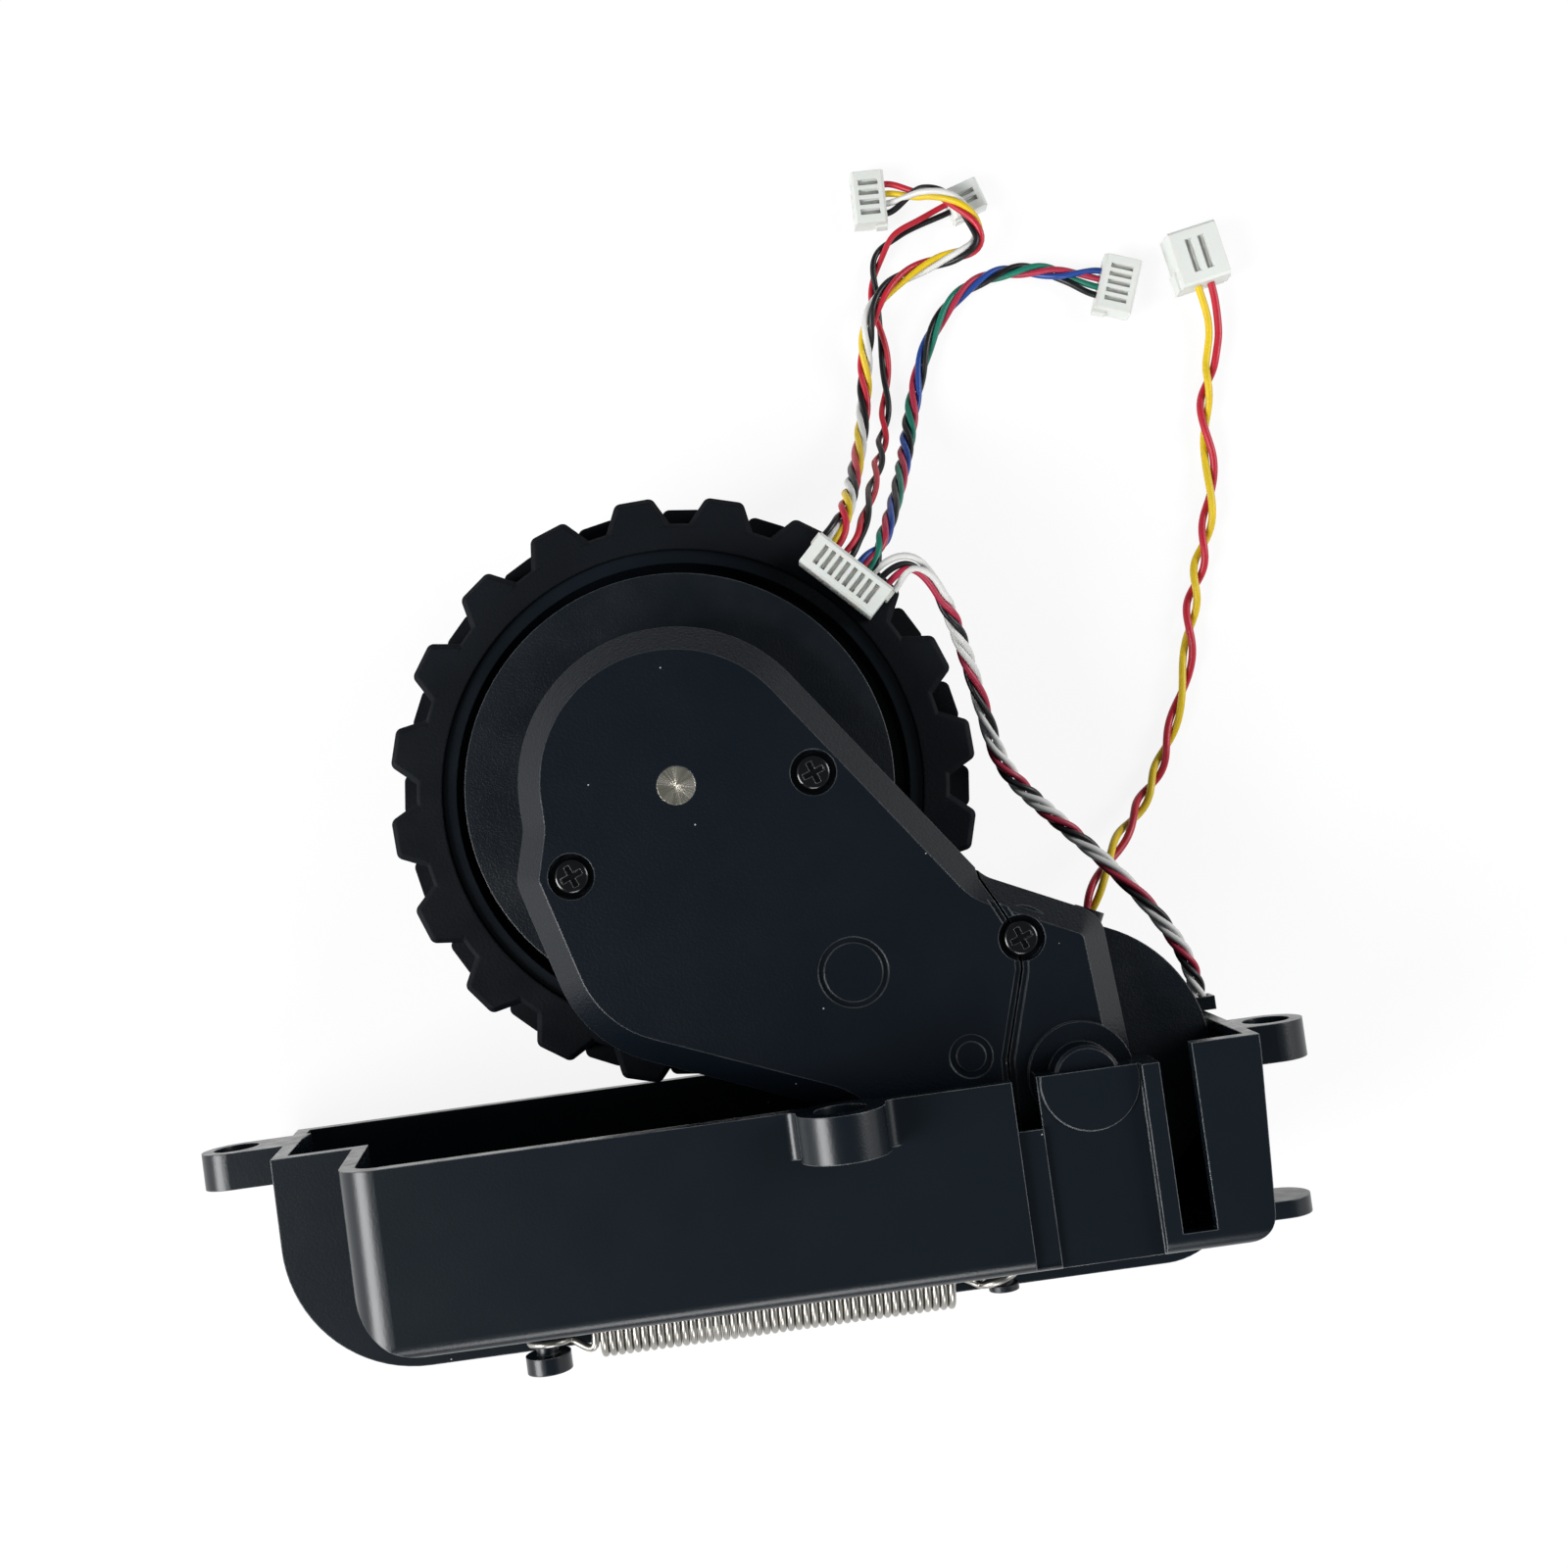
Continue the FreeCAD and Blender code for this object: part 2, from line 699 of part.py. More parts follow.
def tray():
    """Moulded tray with its pivot seats, ears, screw boss, tab and spring post."""
    near, inside = tray_width, tray_width - wall
    outer = deep_block(0, 0).fuse(shallow_block(0, 0, deep_side_z - 2 * wall))
    inner = deep_block(wall, end_wall).fuse(shallow_block(wall, end_wall, deep_side_z - 3 * wall))
    body = with_panel(outer.cut(inner))
    boss_z = near + boss_hole_radius + boss_wall_gap
    panel_face = near - panel_step
    panel_inside = inside - panel_step
    lip_start = right_ear_z - ear_radius
    mark_reach = 2 * pivot_mark_radius
    mark = cylinder(pivot_mark_radius, panel_face, panel_face + pivot_mark_height)
    mark_below_rim = box(-mark_reach, mark_reach, -mark_reach, rim_y, 0, near)
    left_ear, left_hole = ear(left_ear_x, left_end_x(left_ear_z) + wall, left_ear_z)
    right_ear, right_hole = ear(tray_right + right_ear_reach, tray_right - end_wall, right_ear_z)
    additions = [
        pivot_seat(panel_inside - near_seat_depth, panel_inside),
        pivot_seat(wall, wall + far_pad),
        box(tray_right - end_wall, tray_right, rim_y, end_lip_y, lip_start, near),
        box(opening_right, tray_right, rim_y, end_lip_y, inside, near),
        screw_boss(boss_z),
        mark.common(mark_below_rim),
        left_ear,
        right_ear,
        side_tab(),
        spring_post(),
    ]
    body = fuse([body] + additions)
    bore = journal_radius + journal_play
    half_slot = lever_thickness / 2 + lever_slot_play
    boss_bottom = rim_y - boss_height
    cuts = [
        left_hole,
        right_hole,
        cylinder(bore, panel_inside - near_seat_depth - overcut, panel_face - seat_skin),
        cylinder(bore, seat_skin, wall + far_pad + overcut),
        rod_y(boss_cup_radius, boss_bottom + boss_floor, rim_y + overcut, boss_x, boss_z),
        rod_y(boss_hole_radius, boss_bottom - overcut, rim_y, boss_x, boss_z),
        box(lever_slot_left, lever_slot_right, shallow_floor_y - overcut, shallow_floor_y + wall + overcut,
            spring_z - half_slot, spring_z + half_slot),
    ]
    for cut in cuts:
        body = body.cut(cut)
    return merged(body)


# Spring

def spring():
    """Close-wound coils as one ridge a turn, with a full loop at each end."""
    pitch = (spring_x_end - spring_x_start) / spring_turns
    mean = spring_outer_radius - spring_wire / 2
    crest, valley = spring_outer_radius, spring_outer_radius - spring_wire / 3
    points = [V(spring_x_start, valley, 0)]
    for i in range(spring_turns):
        x = spring_x_start + i * pitch
        points += [V(x + share * pitch, crest, 0) for share in coil_crest]
        points.append(V(x + pitch, valley, 0))
    inner = mean - spring_wire / 2
    points += [V(spring_x_end, inner, 0), V(spring_x_start, inner, 0), points[0]]
    coils = Part.Face(Part.makePolygon(points)).revolve(PIVOT, X_AXIS, 360)
    pieces = [coils]
    left_loop = post_x - post_radius - hook_play + mean - spring_wire / 2
    right_loop = lever_x + lever_pin_radius + hook_play - mean + spring_wire / 2
    for loop_x, coil_x, side in ((left_loop, spring_x_start, 1), (right_loop, spring_x_end, -1)):
        pieces.append(Part.makeTorus(mean, spring_wire / 2, V(loop_x, 0, 0), Y_AXIS))
        neck = loop_x + side * mean
        length = coil_x + side * spring_wire - neck
        neck_rod = Part.makeCylinder(spring_wire / 2, abs(length), V(neck, 0, 0), X_AXIS * side)
        face = Part.makeCylinder(mean, spring_wire / 2, V(coil_x, 0, 0), X_AXIS * side)
        pieces += [neck_rod, face]
    solid = fuse(pieces)
    solid.translate(V(0, spring_y, spring_z))
    return solid


# Gearbox

def gearbox_prism(depth, z0, z1, bevel=0.0):
    """Gearbox outline as a block, inside a wall and bevelled at 45 degrees at the top."""
    corners = inset(gearbox_corners, depth)
    if not bevel:
        return prism(outline(corners), z0, z1)
    top = between_outlines(corners, inset(corners, bevel), z1 - bevel, z1)
    return prism(outline(corners), z0, z1 - bevel).fuse(top)


def seam_solid(half_width, z0, z1):
    """Thin wall along the seam between the two caps."""
    pieces = []
    for (xa, ya), (xb, yb) in zip(seam_points, seam_points[1:]):
        run = V(xb - xa, yb - ya, 0)
        across = V(-run.y, run.x, 0).normalize() * half_width
        a, b = V(xa, ya, 0), V(xb, yb, 0)
        strip = Part.makePolygon([a - across, b - across, b + across, a + across, a - across])
        pieces.append(prism(strip, z0, z1))
        pieces.append(cylinder(half_width, z0, z1, b))
    return fuse(pieces)


def cap_shell():
    """Both gearbox caps before they are parted along the seam."""
    inner_top = cap_top_z - cap_thickness
    inner_bevel = cap_bevel - case_wall + cap_inner_bevel_extra
    shell = gearbox_prism(0, case_parting_z, cap_top_z, cap_bevel)
    shell = shell.cut(gearbox_prism(case_wall, case_parting_z - 1, inner_top, inner_bevel))
    boss_bottom = counterbore_floor_z - screw_boss_foot
    into_cap = inner_top + cap_thickness / 2
    bosses = [cylinder(screw_boss_radius, boss_bottom, into_cap, V(x, y, 0)) for x, y in cap_screws]
    bosses = [boss.common(gearbox_prism(case_wall / 2, case_parting_z, cap_top_z)) for boss in bosses]
    pins = [cylinder(pin_boss_radius, inner_top - pin_boss_drop, into_cap, c) for c in (FIRST, SECOND)]
    shell = fuse([shell] + bosses + pins)
    cuts = [cylinder(axle_radius + axle_press, case_parting_z, cap_top_z + 1, WHEEL)]
    for x, y in cap_screws:
        cuts.append(cylinder(counterbore_radius, counterbore_floor_z, cap_top_z + 1, V(x, y, 0)))
        cuts.append(cylinder(shank_radius + cap_screw_play, case_parting_z, cap_top_z, V(x, y, 0)))
    for centre, (outer, inner) in zip((SECOND, FIRST), mark_rings):
        cuts.append(ring(outer, inner, cap_top_z - mark_depth, cap_top_z + 1, centre))
        cuts.append(cylinder(gear_pin_radius, case_parting_z, cap_top_z - cap_thickness / 2, centre))
    for cut in cuts:
        shell = shell.cut(cut)
    return shell.cut(seam_solid(seam_groove_width / 2, cap_top_z - seam_groove_depth, cap_top_z + 1))


def gearbox_caps():
    """Gearbox cap on the wheel side of the seam, pivot cap on the other."""
    parted = cap_shell().cut(seam_solid(seam_gap / 2, case_parting_z - 1, cap_top_z + 1))
    halves = sorted(parted.Solids, key=lambda s: s.Volume)
    gearbox_cap, pivot_cap = halves[-1], halves[-2]
    shoulder = cylinder(shoulder_radius, cap_top_z, cap_top_z + shoulder_height)
    journal_top = tray_width - panel_step - seat_skin - end_play
    journal = cylinder(journal_radius, cap_top_z, journal_top)
    rim = [e for e in journal.Edges if abs(e.BoundBox.ZMin - journal_top) < tiny]
    return gearbox_cap, fuse([pivot_cap, shoulder, journal.makeChamfer(journal_bevel, rim)])


def lever():
    """Spring lever: a tapering bar down from the pivot, with a headed pin for the spring loop."""
    tip = V(lever_x, spring_y, 0)
    along = V(tip.x, tip.y, 0).normalize()
    across = V(-along.y, along.x, 0)
    root, end = along * lever_root_distance, along * (tip.Length - lever_tip_gap)
    a, b = across * (lever_root_width / 2), across * (lever_tip_width / 2)
    z0, z1 = spring_z - lever_thickness / 2, spring_z + lever_thickness / 2
    bar = prism(Part.makePolygon([root - a, root + a, end + b, end - b, root - a]), z0, z1)
    bar = bar.cut(gearbox_prism(case_wall / 2, z0 - 1, case_parting_z))
    bar = bar.cut(gearbox_prism(-lever_cap_play, case_parting_z, cap_top_z))
    bottom = spring_y - lever_pin_below_spring
    pin = rod_y(lever_pin_radius, bottom, spring_y + lever_tip_gap + lever_pin_root, lever_x, spring_z)
    head = rod_y(lever_pin_flange_radius, bottom - lever_pin_flange, bottom, lever_x, spring_z)
    return [bar, pin, head]


def ribs_inside_bell(z0, z1):
    """Short ribs that hold the motor can central in the bell."""
    pieces = []
    half = rib_width / 2
    for i in range(rib_count):
        rib = box(motor_radius + rib_play, bell_radius - bell_wall / 2, -half, half, z0, z1)
        rib.rotate(PIVOT, Z_AXIS, 360 * i / rib_count + rib_turn_deg)
        pieces.append(rib)
    return pieces


def lugs_on_bell(z0, z1):
    """Screw lugs outside the bell, each with its web."""
    pieces = []
    for degrees in lug_bearings_deg:
        web = box(bell_radius - bell_wall / 2, lug_circle, -lug_radius, lug_radius, z0, z1)
        web.rotate(PIVOT, Z_AXIS, degrees)
        pieces += [cylinder(lug_radius, z0, z1, polar(lug_circle, degrees)), web]
    return pieces


def screw_bores(radius, z0, z1, places):
    """Round cuts for screws at some places."""
    return [cylinder(radius, z0, z1, place) for place in places]


def gearbox_case():
    """Main moulding: disc over the wheel, gear floor, upper half of the motor bell and lever."""
    plate_z = case_face_z - case_plate
    above = case_face_z + overcut
    pillar_top = counterbore_floor_z - screw_boss_foot
    body = fuse([
        gearbox_prism(0, plate_z, case_parting_z),
        cylinder(skirt_radius, skirt_z, case_face_z, WHEEL),
        cylinder(bell_radius, bell_parting_z, case_face_z),
        cylinder(gear_pocket_radius + gear_pocket_wall, gear_pocket_floor_z, case_face_z, SECOND),
    ])
    hollows = [
        gearbox_prism(case_wall, case_face_z, case_parting_z + overcut),
        cylinder(skirt_radius - skirt_wall, skirt_z - overcut, plate_z, WHEEL),
        cylinder(bell_radius - bell_wall, bell_parting_z - overcut, plate_z),
        cylinder(gear_pocket_radius, gear_pocket_floor_z + gear_pocket_floor, above, SECOND),
    ]
    for hollow in hollows:
        body = body.cut(hollow)
    pillars = [cylinder(pillar_radius, plate_z, pillar_top, V(x, y, 0)) for x, y in cap_screws]
    axle_boss = cylinder(axle_boss_radius, plate_z, cap_top_z - cap_thickness, WHEEL)
    lugs = lugs_on_bell(bell_parting_z, bell_parting_z + lug_height)
    body = fuse([body, axle_boss] + pillars + lugs + ribs_inside_bell(bell_parting_z, plate_z) + lever())
    thread = shank_radius + thread_play
    cuts = [
        cylinder(axle_radius + axle_press, skirt_z, cap_top_z, WHEEL),
        cylinder(gear_pin_radius, plate_z + plate_pin_floor, cap_top_z, FIRST),
        cylinder(gear_pin_radius, gear_pocket_floor_z + pocket_pin_floor, cap_top_z, SECOND),
        cylinder(motor_boss_radius + motor_boss_play, plate_z - overcut, above),
    ]
    cuts += screw_bores(thread, pillar_top - screw_bite, pillar_top + overcut, cap_screw_places)
    lug_hole_top = bell_parting_z + lug_height - lug_hole_end
    cuts += screw_bores(thread, bell_parting_z - overcut, lug_hole_top, lug_places)
    cuts += screw_bores(shank_radius + through_play, plate_z - overcut, above, motor_screw_places)
    for cut in cuts:
        body = body.cut(cut)
    return merged(body)


def motor_cover():
    """Lower half of the motor bell, with the far journal and the two cord exits."""
    outer = cylinder(bell_radius, cover_face_z, bell_parting_z)
    edge = [e for e in outer.Edges if abs(e.BoundBox.ZMax - cover_face_z) < tiny]
    outer = outer.makeFillet(cover_edge_radius, edge)
    floor_z = cover_face_z + cover_plate
    in_plate = cover_face_z + cover_plate / 2
    inner = cylinder(bell_radius - bell_wall, floor_z, bell_parting_z + overcut)
    lug_bottom = bell_parting_z - lug_height
    journal = cylinder(journal_radius, seat_skin + end_play, in_plate)
    peg_top = floor_z + board_thickness + board_peg_proud
    pegs = [cylinder(board_peg_radius, in_plate, peg_top, V(x, 0, 0)) for x in (-board_peg_x, board_peg_x)]
    in_wall = bell_radius - bell_wall / 2
    direction = polar(1.0, power_exit_bearing_deg)
    level = V(0, 0, power_exit_z)
    spout = Part.makeCylinder(spout_radius, spout_reach + bell_wall / 2, direction * in_wall + level,
                              direction)
    half = signal_block_half
    block = box(bell_radius - bell_wall, signal_exit_x + half, *signal_block_y,
                signal_exit_z - half, signal_exit_z + half)
    body = fuse([outer.cut(inner), journal, spout, block] + lugs_on_bell(lug_bottom, bell_parting_z)
                + pegs + ribs_inside_bell(end_cap_z[1], bell_parting_z))
    power_bore = Part.makeCylinder(power_cord_diameter / 2 + wire_bore_play, bell_radius,
                                   direction * (motor_radius + rib_root) + level, direction)
    signal_bore = rod_y(signal_cord_diameter / 2 + wire_bore_play, signal_block_y[0] + rib_root,
                        signal_block_y[1] + overcut, signal_exit_x, signal_exit_z)
    cuts = [power_bore, signal_bore]
    cuts += screw_bores(shank_radius + through_play, lug_bottom - overcut, bell_parting_z + overcut,
                        lug_places)
    for cut in cuts:
        body = body.cut(cut)
    return merged(body)


def pan_screw(length, facing=1):
    """Cross-recessed pan head on a plain shank, seated at the origin; facing 1 has its head up."""
    head = Part.makeCylinder(head_radius, head_height)
    rim = [e for e in head.Edges if abs(e.BoundBox.ZMin - head_height) < tiny]
    head = head.makeFillet(head_edge_radius, rim)
    screw = head.fuse(Part.makeCylinder(shank_radius, length, PIVOT, V(0, 0, -1)))
    for turn in (0, 90):
        bar = box(-cross_length / 2, cross_length / 2, -cross_width / 2, cross_width / 2,
                  head_height - cross_depth, head_height + 1)
        bar.rotate(PIVOT, Z_AXIS, turn + cross_turn_deg)
        screw = screw.cut(bar)
    if facing < 0:
        screw.rotate(PIVOT, X_AXIS, 180)
    return merged(screw)


def screws_at(places, length, z, facing=1):
    """Like screws at some places, seated at one level."""
    pieces = []
    for place in places:
        screw = pan_screw(length, facing)
        screw.translate(V(place.x, place.y, z))
        pieces.append(screw)
    return pieces


# Motor

def motor_can():
    """Drawn steel can with the front bearing boss and two threaded holes."""
    z0, z1 = end_cap_z[1], motor_top_z
    cup = cylinder(motor_radius, z0, z1).cut(cylinder(motor_radius - can_wall, z0 - overcut, z1 - can_wall))
    cup = cup.fuse(cylinder(motor_boss_radius, z1, z1 + motor_boss_height))
    cup = cup.cut(cylinder(shaft_radius + shaft_play, z0, z1 + 2 * motor_boss_height))
    for bore in screw_bores(shank_radius + thread_play, z1 - 2 * can_wall, z1 + overcut, motor_screw_places):
        cup = cup.cut(bore)
    return merged(cup)


def motor_end_cap():
    """Moulded rear cap with its bearing boss and two terminals."""
    z0, z1 = end_cap_z
    half = terminal_half_width
    cap = cylinder(motor_radius, z0, z1).fuse(cylinder(motor_boss_radius, z0 - end_cap_boss, z0))
    for degrees in terminal_bearings_deg:
        terminal = box(*terminal_radii, -half, half, z0 - terminal_height, z0 + half)
        terminal.rotate(PIVOT, Z_AXIS, degrees)
        cap = cap.fuse(terminal)
    return merged(cap.cut(cylinder(shaft_radius + shaft_play, z0 - 2 * end_cap_boss, z1 + overcut)))


def motor_magnets():
    """Two arc magnets against the inside of the can."""
    outer = motor_radius - can_wall
    pieces = []
    bottom, top = magnet_z
    for middle in (0, 180):
        arc = Part.makeCylinder(outer, top - bottom, V(0, 0, bottom), Z_AXIS, magnet_arc_deg)
        arc.rotate(PIVOT, Z_AXIS, middle - magnet_arc_deg / 2)
        pieces.append(arc.cut(cylinder(magnet_inner_radius, 0, tray_width)))
    return pieces


def armature_core():
    """Laminated core with its slots, pressed on the shaft."""
    hub = cylinder(core_hub_radius, *core_z)
    pieces = [hub]
    tips = ring(core_radius, core_radius - core_tip, *core_z)
    for i in range(core_poles):
        neck = box(0, core_radius - core_tip / 2, -core_neck_width / 2, core_neck_width / 2, *core_z)
        neck.rotate(PIVOT, Z_AXIS, 360 * i / core_poles)
        pieces.append(neck)
        slot = box(0, core_radius + overcut, -core_slot_width / 2, core_slot_width / 2,
                   core_z[0] - overcut, core_z[1] + overcut)
        slot.rotate(PIVOT, Z_AXIS, 360 * (i + 0.5) / core_poles)
        tips = tips.cut(slot)
    return fuse(pieces + [tips]).cut(cylinder(shaft_radius, 0, tray_width))


def armature_windings():
    """Copper coils, one in each slot of the core."""
    outer = core_radius - core_tip - winding_play
    pieces = []
    for i in range(core_poles):
        middle = 360 * (i + 0.5) / core_poles
        half = 180 / core_poles
        bottom = core_z[0] - winding_overhang
        height = core_z[1] + winding_overhang - bottom
        block = Part.makeCylinder(outer, height, V(0, 0, bottom), Z_AXIS, 2 * half)
        block.rotate(PIVOT, Z_AXIS, middle - half)
        block = block.cut(cylinder(core_hub_radius + winding_play, 0, tray_width))
        for side in (i, i + 1):
            neck = box(-core_radius, core_radius, -core_neck_width / 2 - winding_play,
                       core_neck_width / 2 + winding_play, 0, tray_width)
            neck.rotate(PIVOT, Z_AXIS, 360 * side / core_poles)
            block = block.cut(neck)
        pieces.append(block)
    return pieces


def motor_brushes():
    """Two carbon blocks beside the commutator."""
    long, wide, high = brush_size
    start = commutator_radius + shaft_play
    pieces = []
    for turn in (90, 270):
        block = box(start, start + long, -wide / 2, wide / 2, end_cap_z[1], end_cap_z[1] + high)
        block.rotate(PIVOT, Z_AXIS, turn)
        pieces.append(block)
    return pieces


def sensor_board():
    """Round board on the cover's two pegs."""
    z0 = cover_face_z + cover_plate
    top = z0 + board_thickness
    board = cylinder(board_radius, z0, top)
    for x in (-board_peg_x, board_peg_x):
        board = board.cut(cylinder(board_peg_radius + board_peg_play, z0 - 1, top + 1, V(x, 0, 0)))
    return board


def hall_sensor():
    """Speed sensor's chip, on the board beside the magnet."""
    z0 = cover_face_z + cover_plate + board_thickness
    wide, deep, high = sensor_chip
    return box(-wide / 2, wide / 2, sensor_chip_y, sensor_chip_y + deep, z0, z0 + high)


# Wheel

def tyre():
    """Rubber tyre with two staggered rows of lugs and a key that grips the hub."""
    z0, z1 = tyre_z
    root, seat = tyre_root_radius, tyre_seat_radius
    middle = (z0 + z1) / 2
    profile = [V(seat, 0, z0), V(root - tyre_shoulder, 0, z0), V(root, 0, z0 + tyre_shoulder),
               V(root, 0, z1 - tyre_shoulder), V(root - tyre_shoulder, 0, z1), V(seat, 0, z1),
               V(seat, 0, middle + tyre_key_width / 2),
               V(seat - tyre_key_depth, 0, middle + tyre_key_width / 2),
               V(seat - tyre_key_depth, 0, middle - tyre_key_width / 2),
               V(seat, 0, middle - tyre_key_width / 2)]
    body = Part.Face(Part.makePolygon(profile + [profile[0]])).revolve(PIVOT, Z_AXIS, 360)
    half_root, half_tip = tread_root_width / 2, tread_tip_width / 2
    tip = tyre_radius
    lug = [(root - lug_sink, -half_root, 0), (tip, -half_tip, tread_tip_radius),
           (tip, half_tip, tread_tip_radius), (root - lug_sink, half_root, 0)]
    rows = ((middle + tread_row_gap / 2, z1, 0.0), (z0, middle - tread_row_gap / 2, 0.5))
    pieces = [body]
    step = 360 / lugs_per_row
    for low, high, offset in rows:
        block = prism(outline(lug), low, high)
        end_z = high if offset == 0 else low
        end_edges = [e for e in block.Edges if e.BoundBox.XMin > tip - edge_search
                     and abs(e.BoundBox.ZMin - end_z) + abs(e.BoundBox.ZMax - end_z) < edge_search]
        block = block.makeChamfer(tread_end_bevel, end_edges)
        for i in range(lugs_per_row):
            copy = block.copy()
            copy.rotate(PIVOT, Z_AXIS, lug_phase_deg + step * (i + offset))
            pieces.append(copy)
    solid = fuse(pieces)
    solid.translate(WHEEL)
    return solid


def wheel_hub():
    """Moulded rim, disc, ribs on the outer side and the driven boss."""
    z0, z1 = tyre_z
    middle = (z0 + z1) / 2
    seat, inner = tyre_seat_radius, rim_inner_radius
    key, half = tyre_key_depth, tyre_key_width / 2
    profile = [V(inner, 0, z0 + rim_lip), V(seat, 0, z0 + rim_lip), V(seat, 0, middle - half),
               V(seat - key, 0, middle - half), V(seat - key, 0, middle + half), V(seat, 0, middle + half),
               V(seat, 0, z1 - rim_lip), V(inner, 0, z1 - rim_lip)]
    rim = Part.Face(Part.makePolygon(profile + [profile[0]])).revolve(PIVOT, Z_AXIS, 360)
    pieces = [rim, cylinder(inner + rib_root, *hub_disc_z), cylinder(hub_boss_radius, *hub_boss_z)]
    for i in range(hub_ribs):
        rib = box(0, inner + rib_root, -hub_rib_width / 2, hub_rib_width / 2,
                  hub_disc_z[0] - hub_rib_drop, hub_disc_z[0] + rib_root)
        rib.rotate(PIVOT, Z_AXIS, 360 * (i + hub_rib_turn) / hub_ribs)
        pieces.append(rib)
    body = fuse(pieces)
    socket = cylinder(sleeve_radius + sleeve_play, sleeve_bottom_z, hub_boss_z[1] + 1)
    flats = box(-2 * sleeve_radius, 2 * sleeve_radius, -sleeve_flat - sleeve_play, sleeve_flat + sleeve_play,
                sleeve_bottom_z, hub_boss_z[1] + 1)
    body = body.cut(socket.common(flats))
    body = body.cut(cylinder(bush_outer_radius, hub_boss_z[0] - 1, hub_boss_z[0] + bush_length))
    body = body.cut(cylinder(axle_radius + axle_bore_play, 0, tray_width))
    body.translate(WHEEL)
    return merged(body)


def wheel_bushes():
    """Two sintered bushes, in the hub and in the output gear's sleeve."""
    low, high = hub_boss_z[0], sleeve_top_z - bush_length
    return [ring(bush_outer_radius, axle_radius + bush_play, z, z + bush_length, WHEEL) for z in (low, high)]


def axle():
    """Pin that the wheel turns on, with the groove for its clip."""
    pin = cylinder(axle_radius, *axle_z, WHEEL)
    return pin.cut(ring(axle_radius + 1, clip_groove_radius, *clip_z, WHEEL))


def axle_clip():
    """Open spring clip in the axle's groove, outside the hub."""
    clip = ring(clip_outer_radius, clip_groove_radius + clip_grip, *clip_z, WHEEL)
    mouth = box(wheel_x, wheel_x + 2 * clip_outer_radius, wheel_y - clip_mouth / 2, wheel_y + clip_mouth / 2,
                clip_z[0] - 1, clip_z[1] + 1)
    return clip.cut(mouth)


# Cords

def cord(name, points, diameter):
    """Plain tube: straight runs joined by tangent arcs as large as the runs allow."""
    places = [V(*p) for p in points]
    radii = [0.0] * len(places)
    for i in range(1, len(places) - 1):
        back, ahead = places[i - 1] - places[i], places[i + 1] - places[i]
        half_turn = (math.pi - back.getAngle(ahead)) / 2
        radii[i] = arc_share * min(back.Length, ahead.Length) / math.tan(half_turn)
    path = Part.Wire(rounded_edges(places, radii, closed=False))
    start = places[0]
    section = Part.Wire(Part.makeCircle(diameter / 2, start, places[1] - start))
    tube = path.makePipeShell([section], True, False)
    expected = math.pi * diameter ** 2 / 4 * path.Length
    print(f"{name}: length {path.Length:.1f}, volume ratio {tube.Volume / expected:.4f}, lowest "
          f"{tube.BoundBox.ZMin:.2f}, radii in diameters "
          + " ".join(f"{r / diameter:.1f}" for r in radii[1:-1]))
    return tube


power_cord_points = [
    (8.35, 17.6, 11.0), (10.6, 22.35, 10.6), (14.6, 27.0, 7.4), (19.6, 32.2, 3.4), (24.0, 37.8, 1.6),
    (26.9, 44.0, 1.6), (30.3, 51.6, 1.6), (32.0, 61.2, 1.6), (35.8, 71.4, 1.6), (38.4, 80.6, 1.6),
    (37.9, 89.6, 1.6), (40.4, 97.8, 1.8), (42.0, 104.0, 2.4), (41.0, 109.6, 2.6),
]
signal_cord_points = [
    (21.6, 4.3, 16.5), (21.5, 9.2, 16.8), (17.6, 17.2, 16.6), (11.4, 25.6, 16.0), (4.7, 33.2, 15.6),
    (-1.6, 40.8, 15.8), (-3.2, 49.8, 17.6), (-5.2, 59.0, 20.8), (-7.4, 66.0, 23.8), (-10.2, 70.0, 25.7),
    (-13.2, 70.2, 26.2), (-15.38, 68.11, 26.2),
]
branch_a_points = [
    (-21.82, 74.69, 26.2), (-20.2, 76.28, 26.2), (-18.4, 80.6, 22.0), (-16.4, 86.0, 13.4),
    (-14.2, 92.4, 5.4), (-12.5, 99.4, 1.5), (-11.6, 105.6, 2.6), (-10.6, 110.6, 5.2), (-8.0, 114.2, 5.4),
    (-4.0, 116.9, 3.8), (0.6, 118.2, 3.8), (4.4, 118.3, 5.4), (7.5, 119.4, 5.6), (7.4, 122.8, 5.4),
    (5.2, 126.2, 5.6), (1.8, 128.7, 5.0), (-1.9, 129.4, 2.4), (-5.2, 129.5, 1.8),
]
branch_b_points = [
    (-19.68, 72.51, 26.2), (-18.0, 74.16, 26.2), (-15.9, 79.2, 22.0), (-13.4, 85.4, 13.2),
    (-10.9, 92.0, 4.8), (-9.1, 99.4, 1.2), (-8.3, 107.0, 1.2), (-9.1, 114.2, 1.2), (-8.2, 120.2, 1.2),
    (-4.8, 123.9, 1.2), (0.4, 125.6, 1.5), (4.2, 126.8, 1.7),
]
branch_c_points = [
    (-17.52, 70.29, 26.2), (-15.8, 71.97, 26.2), (-13.2, 76.8, 22.4), (-10.4, 83.0, 14.0),
    (-7.6, 90.4, 5.6), (-5.2, 98.4, 1.5), (-1.8, 107.2, 1.4), (3.4, 113.6, 1.4), (9.6, 116.1, 1.4),
    (16.2, 115.8, 1.6), (21.4, 113.6, 2.1), (25.2, 112.2, 2.1),
]


